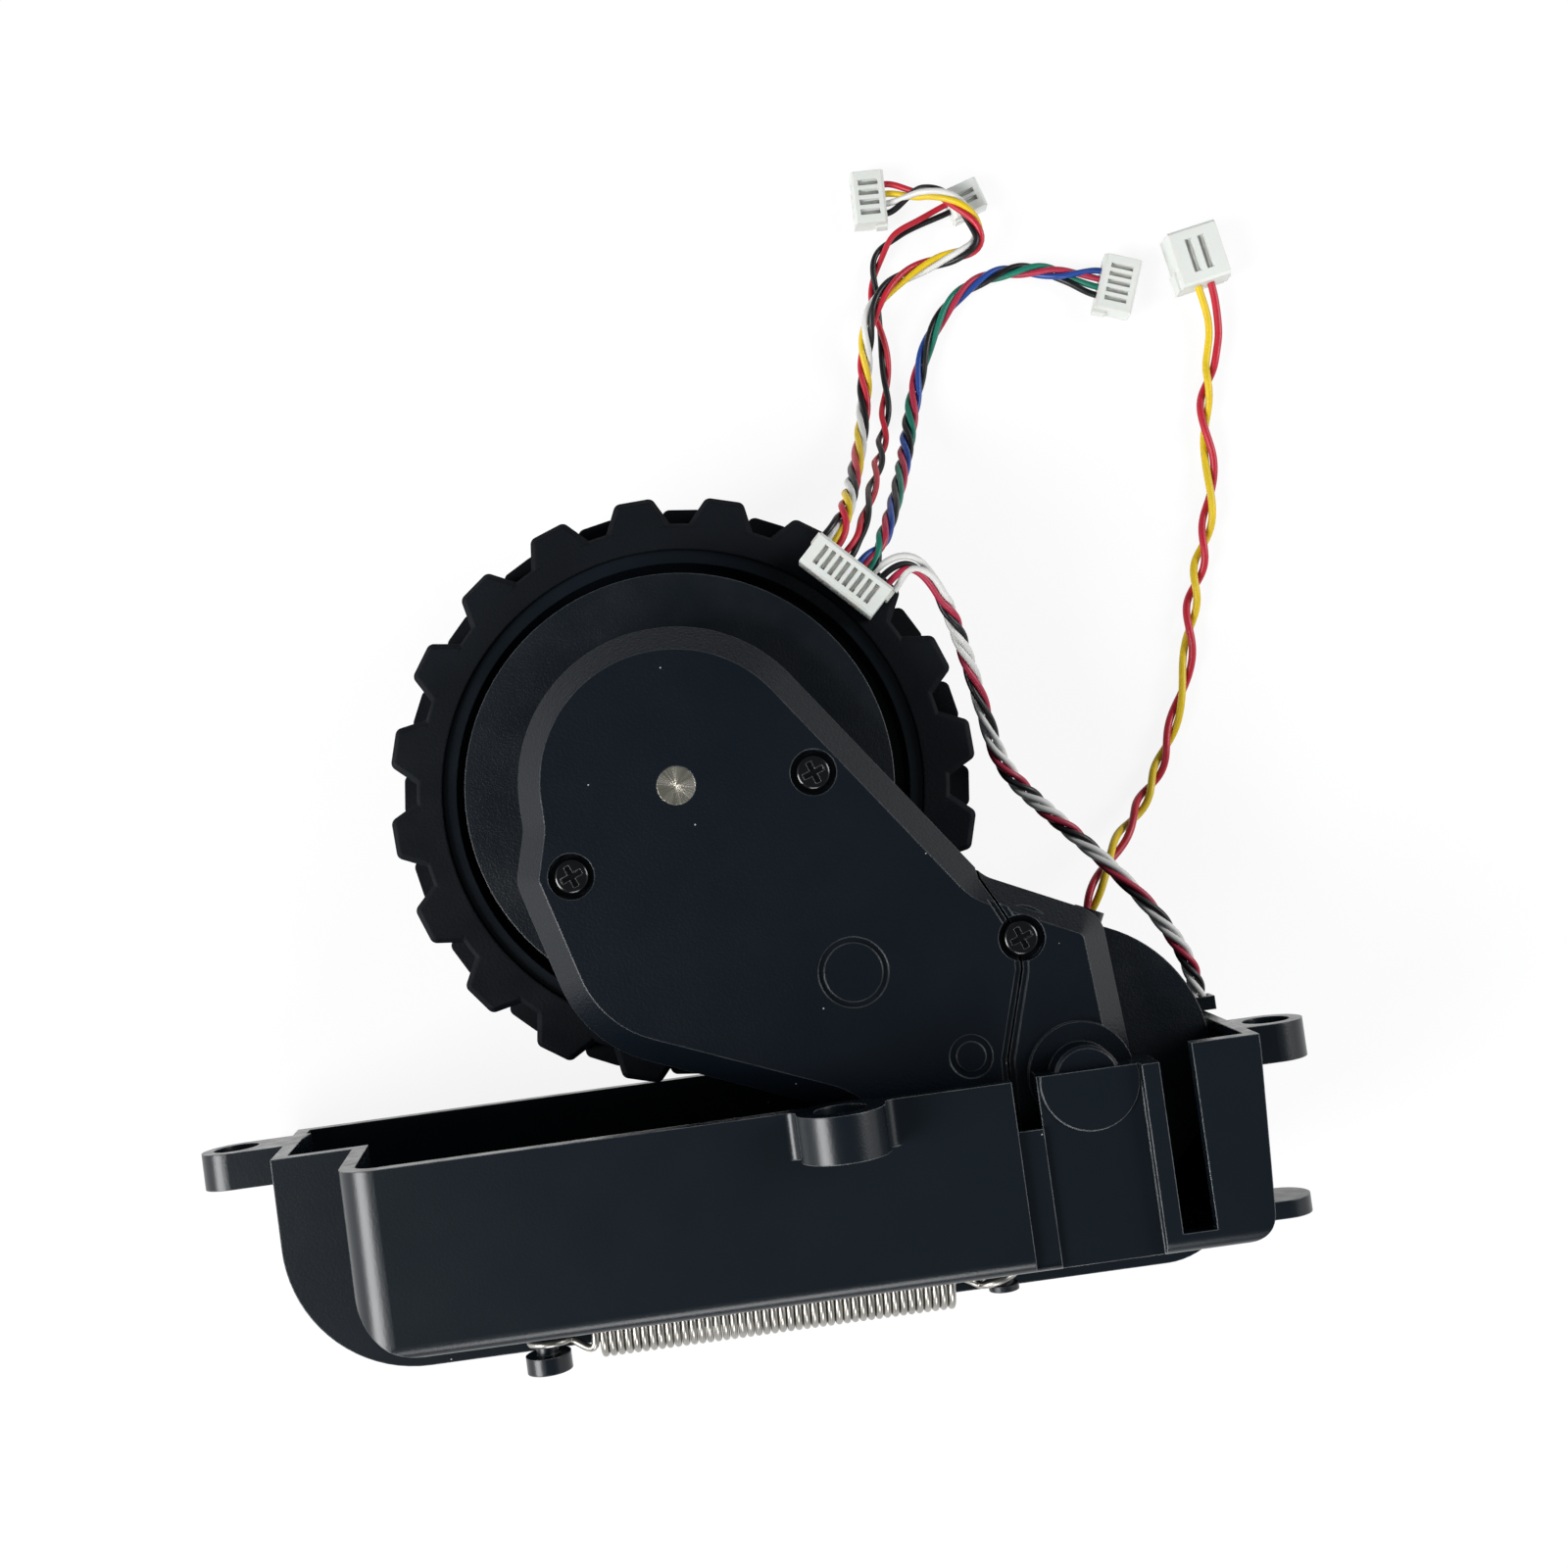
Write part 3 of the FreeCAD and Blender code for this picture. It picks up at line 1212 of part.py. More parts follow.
def plug(width, depth, height, pins, pitch):
    """Nylon plug seen from its mating face at -Y: body, latch rib, pin slots and mating holes."""
    body = box(-width / 2, width / 2, -depth, 0, 0, height)
    ends = [e for e in body.Edges if e.BoundBox.ZMin > height - tiny and e.BoundBox.YLength < edge_search]
    body = body.makeChamfer(plug_edge_bevel, ends)
    rib_half = width / 2 + plug_rib
    body = body.fuse(box(-rib_half, rib_half, -depth * plug_rib_depth, 0, plug_rib, height * plug_rib_top))
    near, far = [-depth * share for share in slot_ends]
    low, high = [height * share for share in mate_levels]
    for i in range(pins):
        x = (i - (pins - 1) / 2) * pitch
        half = pitch * slot_half_share
        body = body.cut(box(x - half, x + half, far, near, height - slot_depth, height + overcut))
        half = pitch * mate_half_share
        body = body.cut(box(x - half, x + half, -depth - overcut, -depth + mate_depth, low, high))
    return merged(body)


def placed_plug(size, place, turn_deg):
    """Plug with the middle of its wire face at a place, and that face towards a bearing."""
    width, depth, height, pins, pitch = size
    body = plug(width, depth, height, pins, pitch)
    body.rotate(PIVOT, Z_AXIS, turn_deg - 90)
    body.translate(V(*place))
    return body


harness_plug_size = (12.5, 5.0, 4.4, 8, 1.25)
power_plug_size = (7.4, 8.6, 5.0, 2, 2.0)
plug_a_size = (8.0, 5.0, 3.4, 4, 1.5)
plug_b_size = (4.6, 5.4, 3.2, 2, 1.25)
plug_c_size = (8.2, 5.6, 4.0, 5, 1.25)
plug_places = [
    ("harness_plug", harness_plug_size, (-18.6, 71.4, tyre_z[1] + 0.3), 44.4),
    ("power_plug", power_plug_size, (41.0, 109.6, floor_rest), 280.1),
    ("branch_plug_a", plug_a_size, (-5.2, 129.5, floor_rest), -2.0),
    ("branch_plug_b", plug_b_size, (4.2, 126.8, floor_rest), 197.5),
    ("branch_plug_c", plug_c_size, (25.2, 112.2, floor_rest), 159.8),
]


def main():
    os.makedirs("parts", exist_ok=True)
    save("wheel_housing", tray())
    save("return_spring", spring())
    save("gearbox_case", gearbox_case())
    gearbox_cap, pivot_cap = gearbox_caps()
    save("gearbox_cap", gearbox_cap)
    save("pivot_cap", pivot_cap)
    save("motor_cover", motor_cover())
    save("cap_screws", *screws_at(cap_screw_places, cap_screw_length, counterbore_floor_z))
    save("cover_screws", *screws_at(lug_places, cover_screw_length, bell_parting_z - lug_height, -1))
    save("motor_screws", *screws_at(motor_screw_places, motor_screw_length, case_face_z))
    save("motor_can", motor_can())
    save("motor_end_cap", motor_end_cap())
    save("motor_magnets", *motor_magnets())
    save("motor_brushes", *motor_brushes())
    save("motor_shaft", cylinder(shaft_radius, shaft_bottom_z, motor_pinion_z[1] + pin_end_gap))
    save("armature_core", armature_core())
    save("armature_windings", *armature_windings())
    save("commutator", ring(commutator_radius, shaft_radius, *commutator_z))
    save("sensor_magnet", ring(sensor_magnet_radius, shaft_radius, *sensor_magnet_z))
    save("sensor_board", sensor_board())
    save("hall_sensor", hall_sensor())
    save("motor_pinion", motor_pinion())
    first_big = (first_gear_teeth, first_module, first_phase, first_gear_z)
    first_small = (first_pinion_teeth, second_module, first_pinion_z)
    second_big = (second_gear_teeth, second_module, second_phase, second_gear_z)
    second_small = (second_pinion_teeth, third_module, second_pinion_z)
    save("first_gear", compound_gear(FIRST, first_big, first_small, first_gear_z[1]))
    save("second_gear", compound_gear(SECOND, second_big, second_small, second_hub_top_z))
    pin_top = cap_top_z - cap_thickness / 2 - pin_end_gap
    first_pin_foot = case_face_z - case_plate + plate_pin_floor
    second_pin_foot = gear_pocket_floor_z + pocket_pin_floor
    save("first_gear_pin", cylinder(gear_pin_radius, first_pin_foot, pin_top, FIRST))
    save("second_gear_pin", cylinder(gear_pin_radius, second_pin_foot, pin_top, SECOND))
    save("output_gear", output_gear())
    save("wheel_hub", wheel_hub())
    save("tyre", tyre())
    save("wheel_bushes", *wheel_bushes())
    save("axle", axle())
    save("axle_clip", axle_clip())
    save("power_cord", cord("power_cord", power_cord_points, power_cord_diameter))
    save("signal_cord", cord("signal_cord", signal_cord_points, signal_cord_diameter))
    save("branch_cord_a", cord("branch_cord_a", branch_a_points, branch_a_diameter))
    save("branch_cord_b", cord("branch_cord_b", branch_b_points, branch_b_diameter))
    save("branch_cord_c", cord("branch_cord_c", branch_c_points, branch_c_diameter))
    for name, size, place, turn in plug_places:
        save(name, placed_plug(size, place, turn))
    print("centres", [(round(c.x, 3), round(c.y, 3)) for c in (FIRST, SECOND, WHEEL)])


main()
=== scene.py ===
import math

import bpy
import numpy as np
from mathutils import Matrix, Vector


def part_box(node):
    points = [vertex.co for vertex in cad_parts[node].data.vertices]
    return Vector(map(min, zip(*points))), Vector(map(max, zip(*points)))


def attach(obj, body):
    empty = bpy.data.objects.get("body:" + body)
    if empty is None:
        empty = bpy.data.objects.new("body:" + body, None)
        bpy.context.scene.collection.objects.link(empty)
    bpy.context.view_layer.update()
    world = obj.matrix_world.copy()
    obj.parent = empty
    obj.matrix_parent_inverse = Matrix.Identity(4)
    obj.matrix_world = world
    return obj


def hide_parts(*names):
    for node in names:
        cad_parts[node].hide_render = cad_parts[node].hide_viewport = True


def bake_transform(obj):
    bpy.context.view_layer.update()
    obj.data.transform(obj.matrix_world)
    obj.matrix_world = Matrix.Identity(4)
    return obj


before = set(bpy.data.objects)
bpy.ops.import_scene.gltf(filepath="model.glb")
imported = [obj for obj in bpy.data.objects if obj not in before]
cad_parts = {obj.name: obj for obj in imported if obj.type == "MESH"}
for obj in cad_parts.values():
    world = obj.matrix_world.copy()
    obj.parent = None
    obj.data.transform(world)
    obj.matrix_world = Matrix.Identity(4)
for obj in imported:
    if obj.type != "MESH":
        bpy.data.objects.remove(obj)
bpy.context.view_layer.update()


# Camera
# The module lies on a table and is seen from above, a little nearer its tray. The lens is about 40 mm on
# a 36 mm wide frame, and the picture is turned so that the rim rises to the right.
photo_width = 1600
photo_middle = photo_width / 2
photo_straight_down = (797, 850)
lens_in_pixels = 1779.0
sensor_width_mm = 36.0
camera_place = Vector((-0.0340, 0.0359, 0.265))
camera_roll = math.radians(7.8)

camera_data = bpy.data.cameras.new("camera")
camera_data.sensor_width = sensor_width_mm
camera_data.lens = lens_in_pixels / photo_width * sensor_width_mm
camera_data.clip_start = 0.01
camera = bpy.data.objects.new("camera", camera_data)
bpy.context.scene.collection.objects.link(camera)
picture_right = (math.cos(camera_roll), -math.sin(camera_roll), 0)
picture_up = (math.sin(camera_roll), math.cos(camera_roll), 0)
level_view = Matrix((picture_right, picture_up, (0, 0, 1))).transposed()
down_in_view = Vector((photo_straight_down[0] - photo_middle, photo_middle - photo_straight_down[1],
                       -lens_in_pixels)).normalized()
tilt = down_in_view.rotation_difference(Vector((0, 0, -1))).to_matrix()
camera.matrix_world = Matrix.Translation(camera_place) @ (level_view @ tilt).to_4x4()
bpy.context.scene.camera = camera


# Table and studio light
# A white sheet under the module, white walls to its left and right, a dark ceiling and three soft boxes.
# The lens sees the sheet plain white with an eighth of its true shade, which is the soft shadow. Behind
# the wheel the sheet lights the module, and is mirrored in it, as little as the dark room there.
wall_top_fade = (0.45, 0.85)
wall_side_fade = (0.62, 0.97)
front_wall_share = 0.06
ceiling_colour = (0.8, 0.9, 1.0)
ceiling_strength = 0.11
wall_colour = (0.95, 0.975, 1.0)
wall_strength = 1.25
white = (1, 1, 1)
black = (0, 0, 0)

scene = bpy.context.scene
scene.view_settings.view_transform = "Standard"


def feed(tree, node, inputs):
    """Gives inputs of a node what each takes: another node's output, a number, a vector or a colour."""
    for key, value in inputs.items():
        side = node.inputs[key]
        if isinstance(value, bpy.types.NodeSocket):
            tree.links.new(value, side)
        elif side.type == "RGBA":
            side.default_value = (*value, 1)
        else:
            side.default_value = value


def add_node(tree, kind, inputs, **settings):
    """New shader node of a kind, with its settings and its inputs."""
    node = tree.nodes.new("ShaderNode" + kind)
    for setting, choice in settings.items():
        setattr(node, setting, choice)
    feed(tree, node, inputs)
    return node


def combine(tree, operation, first, second):
    """Result of a sum with two sides."""
    return add_node(tree, "Math", {0: first, 1: second}, operation=operation).outputs[0]


def absolute(tree, value):
    """A value without its sign."""
    return add_node(tree, "Math", {0: value}, operation="ABSOLUTE").outputs[0]


def fade(tree, value, start, end, at_start=0.0, at_end=1.0, curve="LINEAR"):
    """Goes from at_start to at_end as the value goes from start to end, and stays there beyond."""
    limits = {"From Min": start, "From Max": end, "To Min": at_start, "To Max": at_end}
    return add_node(tree, "MapRange", {"Value": value, **limits}, interpolation_type=curve).outputs["Result"]


def mixed(tree, share, first, second, data_type="RGBA"):
    """Mix of two colours, or of two numbers, by a share."""
    return add_node(tree, "Mix", {"Factor": share, "A": first, "B": second},
                    data_type=data_type).outputs["Result"]


def empty_tree(owner):
    """Cleared node tree of a world or a material."""
    owner.use_nodes = True
    owner.node_tree.nodes.clear()
    return owner.node_tree


def ray_shares(tree):
    """1 for a ray from the lens, and 1 for a ray that the module has mirrored or let through."""
    path = add_node(tree, "LightPath", {})
    mirrored = combine(tree, "MAXIMUM", path.outputs["Is Glossy Ray"], path.outputs["Is Transmission Ray"])
    return path.outputs["Is Camera Ray"], mirrored


room = bpy.data.worlds.new("room")
scene.world = room
room_tree = empty_tree(room)
room_way = add_node(room_tree, "TexCoord", {}).outputs["Generated"]
room_axes = add_node(room_tree, "SeparateXYZ", {0: room_way})
below_ceiling = fade(room_tree, room_axes.outputs["Z"], *wall_top_fade, 1.0, 0.0, "SMOOTHSTEP")
to_the_sides = fade(room_tree, absolute(room_tree, room_axes.outputs["X"]), *wall_side_fade,
                    front_wall_share, 1.0, "SMOOTHSTEP")
wall_share = combine(room_tree, "MULTIPLY", below_ceiling, to_the_sides)
ceiling = add_node(room_tree, "Background", {"Color": ceiling_colour, "Strength": ceiling_strength})
wall = add_node(room_tree, "Background", {"Color": wall_colour, "Strength": wall_strength})
room_light = add_node(room_tree, "MixShader", {0: wall_share, 1: ceiling.outputs[0], 2: wall.outputs[0]})
room_seen = add_node(room_tree, "Background", {"Color": white})
room_lens_ray, room_mirrored_ray = ray_shares(room_tree)
mirrored_walls = combine(room_tree, "MULTIPLY", room_mirrored_ray, wall_share)
room_white = combine(room_tree, "MAXIMUM", room_lens_ray, mirrored_walls)
room_mix = add_node(room_tree, "MixShader",
                    {0: room_white, 1: room_light.outputs[0], 2: room_seen.outputs[0]})
add_node(room_tree, "OutputWorld", {0: room_mix.outputs[0]})

sheet_half = 1.5
sheet_grey = (0.9, 0.9, 0.9)
sheet_back_fade = (0.15, 0.30)
sheet_back_share = 0.04
shade_kept = 0.12
sheet_mesh = bpy.data.meshes.new("table")
sheet_mesh.from_pydata([(-sheet_half, -sheet_half, 0), (sheet_half, -sheet_half, 0),
                        (sheet_half, sheet_half, 0), (-sheet_half, sheet_half, 0)], [], [(0, 1, 2, 3)])
table = bpy.data.objects.new("table", sheet_mesh)
scene.collection.objects.link(table)
paper = bpy.data.materials.new("table_white")
paper_tree = empty_tree(paper)
paper_place = add_node(paper_tree, "TexCoord", {}).outputs["Object"]
paper_axes = add_node(paper_tree, "SeparateXYZ", {0: paper_place})
paper_near = fade(paper_tree, paper_axes.outputs["Y"], *sheet_back_fade, 1.0, sheet_back_share, "SMOOTHSTEP")
paper_matt = add_node(paper_tree, "BsdfDiffuse", {"Color": mixed(paper_tree, paper_near, black, sheet_grey)})
paper_glow = add_node(paper_tree, "Emission", {"Color": white})
paper_lens_ray, paper_mirrored_ray = ray_shares(paper_tree)
lens_white = combine(paper_tree, "SUBTRACT", 1.0, combine(paper_tree, "MULTIPLY", paper_near, shade_kept))
mirror_white = combine(paper_tree, "MULTIPLY", paper_near, 1.0 - shade_kept)
paper_share = combine(paper_tree, "MAXIMUM", combine(paper_tree, "MULTIPLY", paper_lens_ray, lens_white),
                      combine(paper_tree, "MULTIPLY", paper_mirrored_ray, mirror_white))
paper_mix = add_node(paper_tree, "MixShader",
                     {0: paper_share, 1: paper_matt.outputs[0], 2: paper_glow.outputs[0]})
add_node(paper_tree, "OutputMaterial", {0: paper_mix.outputs[0]})
sheet_mesh.materials.append(paper)

lamp_aim = Vector((-0.03, 0.04, 0.02))
soft_boxes = {
    "left_box": ((-0.82, -0.22, 0.62), 0.50, 13.0),
    "right_box": ((0.80, 0.20, 0.60), 0.45, 6.2),
    "front_box": ((-0.10, -0.85, 0.55), 0.45, 5.2),
}
for name, (place, side, watts) in soft_boxes.items():
    lamp = bpy.data.lights.new(name, "AREA")
    lamp.size = side
    lamp.energy = watts
    lamp_object = bpy.data.objects.new(name, lamp)
    turned = (lamp_aim - Vector(place)).to_track_quat("-Z", "Y").to_matrix().to_4x4()
    lamp_object.matrix_world = Matrix.Translation(place) @ turned
    scene.collection.objects.link(lamp_object)


# Tray
# One injection moulding in black ABS, satin on its walls from a fine spark-eroded grain in the mould.
# The arm swings in it, and three screws hold it in the robot's base.

# Patterns are given in noise cells to the metre, and radii in metres. The ripple that sides can have is
# ripple_height times as deep as the grain.
noise_middle = (0.3, 0.7)
edge_samples = 4
# Painted edge highlight: a patchy lighter grey within a small radius of each edge, standing for the thin
# lines of light that edges catch.
edge_highlight_radius = 0.00020
edge_highlight_fade = (0.985, 0.88)
edge_highlight_patchiness = (0.35, 1.0)
steep_fade = (0.5, 0.1)
speck_radius = 0.00011
speck_colour = (0.30, 0.31, 0.31)
cloud_cells = 60
edge_highlight_patch_cells = 300
gloss_cells = 140
slide_cells = 420
ripple_cells = 520
ripple_height = 5
plastic_grain_strength = 0.35
plastic_ior = 1.5


def new_material(name):
    """A Principled material with its node tree, its shader and its Object coordinates."""
    material = bpy.data.materials.new(name)
    material.use_nodes = True
    tree = material.node_tree
    place = add_node(tree, "TexCoord", {}).outputs["Object"]
    return material, tree, tree.nodes["Principled BSDF"], place


def noise_between(tree, place, cells, low=0, high=1, detail=3.0):
    """Noise of so many cells to the metre, its middle range spread from low to high."""
    noise = add_node(tree, "TexNoise", {"Vector": place, "Scale": cells, "Detail": detail})
    return fade(tree, noise.outputs["Fac"], *noise_middle, low, high)


def rounded_normal(tree, radius):
    """The surface's normal, turned smoothly round an edge within a radius of it."""
    return add_node(tree, "Bevel", {"Radius": radius}, samples=edge_samples).outputs[0]


def bump_from(tree, shader, height, strength, distance, edge_radius=0.0):
    """Bump on the shader's normal, over an edge that is softened by a small radius."""
    bump = {"Strength": strength, "Distance": distance, "Height": height}
    if edge_radius:
        bump["Normal"] = rounded_normal(tree, edge_radius)
    feed(tree, shader, {"Normal": add_node(tree, "Bump", bump).outputs[0]})


def painted_edge_highlight_share(tree):
    """Share of the painted edge highlight: 0 on a flat and 1 on a sharp edge, by the product of the rounded
    and the true normal, which is 1 where they agree and less where the rounding turns one of them."""
    true_normal = add_node(tree, "NewGeometry", {}).outputs["True Normal"]
    alike = add_node(tree, "VectorMath", {0: rounded_normal(tree, edge_highlight_radius), 1: true_normal},
                     operation="DOT_PRODUCT")
    return fade(tree, alike.outputs["Value"], *edge_highlight_fade)


def steep_share(tree):
    """0 on faces square to the axle, 1 on faces that stand along it, by the normal's share along it."""
    true_normal = add_node(tree, "NewGeometry", {}).outputs["True Normal"]
    along_axle = add_node(tree, "SeparateXYZ", {0: true_normal}).outputs["Z"]
    return fade(tree, absolute(tree, along_axle), *steep_fade)


def dust_share(tree, place, spacing):
    """1 within a speck's radius of points that are strewn about one spacing apart, else 0."""
    strewn = add_node(tree, "TexVoronoi", {"Vector": place, "Scale": 1 / spacing})
    return combine(tree, "LESS_THAN", strewn.outputs["Distance"], speck_radius / spacing)


def moulded_plastic(name, dark, light, rough, grain_size, grain_depth, edge_radius=0.00025, gloss=0.5,
                    painted_edge_highlight=None, shiny_sides=None, dust_spacing=None):
    """Moulded plastic: faint cloudy colour, uneven gloss and a fine grain, sizes in metres. Edges can get a
    painted highlight in a patchy lighter grey, sides that slid along the mould can be shinier than the flats
    and faintly rippled, and a few specks of pale dust can lie about."""
    material, tree, shader, place = new_material(name)
    colour = mixed(tree, noise_between(tree, place, cloud_cells), dark, light)
    # Painted highlight: a patchy lighter grey along edges.
    if painted_edge_highlight:
        patchy = noise_between(tree, place, edge_highlight_patch_cells, *edge_highlight_patchiness)
        colour = mixed(tree, combine(tree, "MULTIPLY", painted_edge_highlight_share(tree), patchy), colour, painted_edge_highlight)
    if dust_spacing:
        colour = mixed(tree, dust_share(tree, place, dust_spacing), colour, speck_colour)
    roughness = noise_between(tree, place, gloss_cells, *rough)
    grain = noise_between(tree, place, 1 / grain_size, detail=2.0)
    if shiny_sides:
        side_roughness = noise_between(tree, place, slide_cells, *shiny_sides)
        roughness = mixed(tree, steep_share(tree), roughness, side_roughness, "FLOAT")
        ripple = noise_between(tree, place, ripple_cells, 0, ripple_height)
        grain = combine(tree, "ADD", combine(tree, "MULTIPLY", ripple, steep_share(tree)), grain)
    feed(tree, shader, {"Base Color": colour, "Roughness": roughness, "IOR": plastic_ior,
                        "Specular IOR Level": gloss})
    bump_from(tree, shader, grain, plastic_grain_strength, grain_depth, edge_radius)
    return material


def finish_node(node, material):
    """Gives a CAD node its material."""
    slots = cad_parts[node].data.materials
    slots.clear()
    slots.append(material)


# The tray's edges have a painted highlight in a patchy lighter grey.
tray_black = moulded_plastic("tray_black", dark=(0.0026, 0.0052, 0.0082), light=(0.0032, 0.0060, 0.0092),
                             rough=(0.28, 0.30), grain_size=0.00035, grain_depth=0.000015, gloss=0.36,
                             painted_edge_highlight=(0.24, 0.25, 0.26), shiny_sides=(0.18, 0.32), dust_spacing=0.0062)
finish_node("wheel_housing", tray_black)


# Swing arm mouldings
# Gearbox case with the disc over the wheel, its two caps and the motor cover, all in the tray's black
# plastic with a deeper grain, which is deepest on the disc. Three screws hold the caps and three the
# motor cover.
# The caps, the motor cover and the gearbox case have a painted highlight in a patchy lighter grey along their
# edges.
arm_black = moulded_plastic("arm_black", dark=(0.0016, 0.0036, 0.0066), light=(0.0023, 0.0045, 0.0078),
                            rough=(0.31, 0.34), grain_size=0.00034, grain_depth=0.00005, gloss=0.30,
                            painted_edge_highlight=(0.11, 0.12, 0.125), dust_spacing=0.0045)
for node in ("gearbox_cap", "pivot_cap", "motor_cover"):
    finish_node(node, arm_black)
case_black = moulded_plastic("case_black", dark=(0.0020, 0.0040, 0.0066), light=(0.0030, 0.0052, 0.0080),
                             rough=(0.30, 0.40), grain_size=0.00024, grain_depth=0.00006, gloss=0.38,
                             painted_edge_highlight=(0.13, 0.14, 0.15))
finish_node("gearbox_case", case_black)


# Screws
# Cross-recessed pan heads in black zinc, with a thin oily sheen and a painted highlight of pale grey at their
# edges.
# Three hold the caps on the gearbox case, three the motor cover, and two the motor inside.
screw_black = moulded_plastic("screw_black", dark=(0.0018, 0.0020, 0.0026), light=(0.0034, 0.0034, 0.004),
                              rough=(0.14, 0.24), grain_size=0.0002, grain_depth=0.000006,
                              edge_radius=0.00012, gloss=0.45, painted_edge_highlight=(0.13, 0.13, 0.13))
feed(screw_black.node_tree, screw_black.node_tree.nodes["Principled BSDF"],
     {"Coat Weight": 0.2, "Coat Roughness": 0.12})
for node in ("cap_screws", "cover_screws", "motor_screws"):
    finish_node(node, screw_black)


# Motor, gears and axle inside the arm
# Plated can, white end cap, sintered magnets, a laminated core with copper coils, and acetal gears on
# ground steel pins. The wheel's axle is a ground steel pin that shows its end in the cap.
metal_cloud_cells = 500
metal_gloss_cells = 900
metal_grain_strength = 0.2
metal_grain_depth = 0.00001


def metal(name, dark, light, rough, grain_size=0.0002, edge_radius=0.0001):
    """Bare metal: faint patchy colour, patchy gloss and a fine grain, sizes in metres."""
    material, tree, shader, place = new_material(name)
    colour = mixed(tree, noise_between(tree, place, metal_cloud_cells), dark, light)
    roughness = noise_between(tree, place, metal_gloss_cells, *rough)
    feed(tree, shader, {"Base Color": colour, "Roughness": roughness, "Metallic": 1.0})
    grain = noise_between(tree, place, 1 / grain_size, detail=2.0)
    bump_from(tree, shader, grain, metal_grain_strength, metal_grain_depth, edge_radius)
    return material


ground_steel = metal("ground_steel", (0.36, 0.35, 0.33), (0.52, 0.50, 0.47), (0.28, 0.42))
plated_steel = metal("plated_steel", (0.45, 0.45, 0.46), (0.58, 0.58, 0.58), (0.22, 0.34))
core_steel = metal("core_steel", (0.2, 0.2, 0.21), (0.3, 0.3, 0.31), (0.4, 0.55))
copper = metal("copper", (0.55, 0.2, 0.08), (0.7, 0.3, 0.13), (0.25, 0.4))
sintered = metal("sintered_bronze", (0.35, 0.26, 0.13), (0.45, 0.34, 0.18), (0.4, 0.55))
acetal = moulded_plastic("acetal", (0.6, 0.59, 0.55), (0.7, 0.69, 0.65), (0.3, 0.42),
                         grain_size=0.0004, grain_depth=0.00001)
dark_ferrite = moulded_plastic("ferrite", (0.02, 0.02, 0.02), (0.035, 0.035, 0.035), (0.5, 0.7),
                               grain_size=0.0003, grain_depth=0.00002)
board_green = moulded_plastic("board_green", (0.01, 0.09, 0.04), (0.02, 0.14, 0.06), (0.25, 0.4),
                              grain_size=0.0008, grain_depth=0.00001)
for material, nodes_of_it in (
    (ground_steel, ("axle_clip", "motor_shaft", "first_gear_pin", "second_gear_pin")),
    (plated_steel, ("motor_can",)),
    (core_steel, ("armature_core",)),
    (copper, ("armature_windings", "commutator")),
    (sintered, ("wheel_bushes", "motor_pinion")),
    (acetal, ("motor_end_cap", "first_gear", "second_gear", "output_gear")),
    (dark_ferrite, ("motor_magnets", "sensor_magnet", "motor_brushes", "hall_sensor")),
    (board_green, ("sensor_board",)),
):
    for node in nodes_of_it:
        finish_node(node, material)

# The axle's end is faced on a lathe, so its shine lies in rays. Its colour goes from dark to light in broad
# wedges round the middle, a painted reflection of that shine, and a bump gives it fine ridges. Each pattern
# there depends only on the way from the axle's middle line to a point.
axle_reflection_dark = (0.26, 0.25, 0.20)
axle_reflection_light = (0.62, 0.58, 0.50)
painted_reflection_rays = 1.6
fine_rays = 9
axle_steel, axle_tree, axle_shader, axle_place = new_material("axle_steel")
axle_middle = tuple(np.mean(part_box("axle"), axis=0))
from_middle = add_node(axle_tree, "VectorMath", {0: axle_place, 1: axle_middle}, operation="SUBTRACT")
across_end = add_node(axle_tree, "VectorMath", {0: from_middle.outputs[0], 1: (1, 1, 0)},
                      operation="MULTIPLY")
round_end = add_node(axle_tree, "VectorMath", {0: across_end.outputs[0]}, operation="NORMALIZE").outputs[0]
axle_painted_shine = noise_between(axle_tree, round_end, painted_reflection_rays, detail=1.0)
axle_ridges = noise_between(axle_tree, round_end, fine_rays)
# Painted reflection: lighter and darker wedges in the steel's colour.
feed(axle_tree, axle_shader, {"Base Color": mixed(axle_tree, axle_painted_shine, axle_reflection_dark, axle_reflection_light),
                              "Roughness": 0.36, "Metallic": 1.0})
bump_from(axle_tree, axle_shader, axle_ridges, strength=0.5, distance=0.00004, edge_radius=0.00012)
finish_node("axle", axle_steel)


# Wheel
# A black moulded hub that turns on the axle on two bushes, with a soft rubber tyre pressed over it. The
# rubber is matt and grained from its mould.
hub_black = moulded_plastic("hub_black", dark=(0.0026, 0.0050, 0.0080), light=(0.0036, 0.0064, 0.0098),
                            rough=(0.26, 0.34), grain_size=0.0004, grain_depth=0.00002, gloss=0.3)
finish_node("wheel_hub", hub_black)

rubber_dark = (0.0010, 0.0021, 0.0040)
rubber_light = (0.0018, 0.0032, 0.0054)
rubber_rough = (0.62, 0.8)
rubber_cloud_cells = 90
rubber_gloss_cells = 200
rubber_grain_cells = 2500
rubber, rubber_tree, rubber_shader, rubber_place = new_material("rubber")
rubber_cloud = noise_between(rubber_tree, rubber_place, rubber_cloud_cells)
rubber_grain = noise_between(rubber_tree, rubber_place, rubber_grain_cells, detail=4.0)
feed(rubber_tree, rubber_shader, {
    "Base Color": mixed(rubber_tree, rubber_cloud, rubber_dark, rubber_light),
    "Roughness": noise_between(rubber_tree, rubber_place, rubber_gloss_cells, *rubber_rough),
    "Specular IOR Level": 0.13,
})
bump_from(rubber_tree, rubber_shader, rubber_grain, strength=0.5, distance=0.00004, edge_radius=0.0004)
finish_node("tyre", rubber)


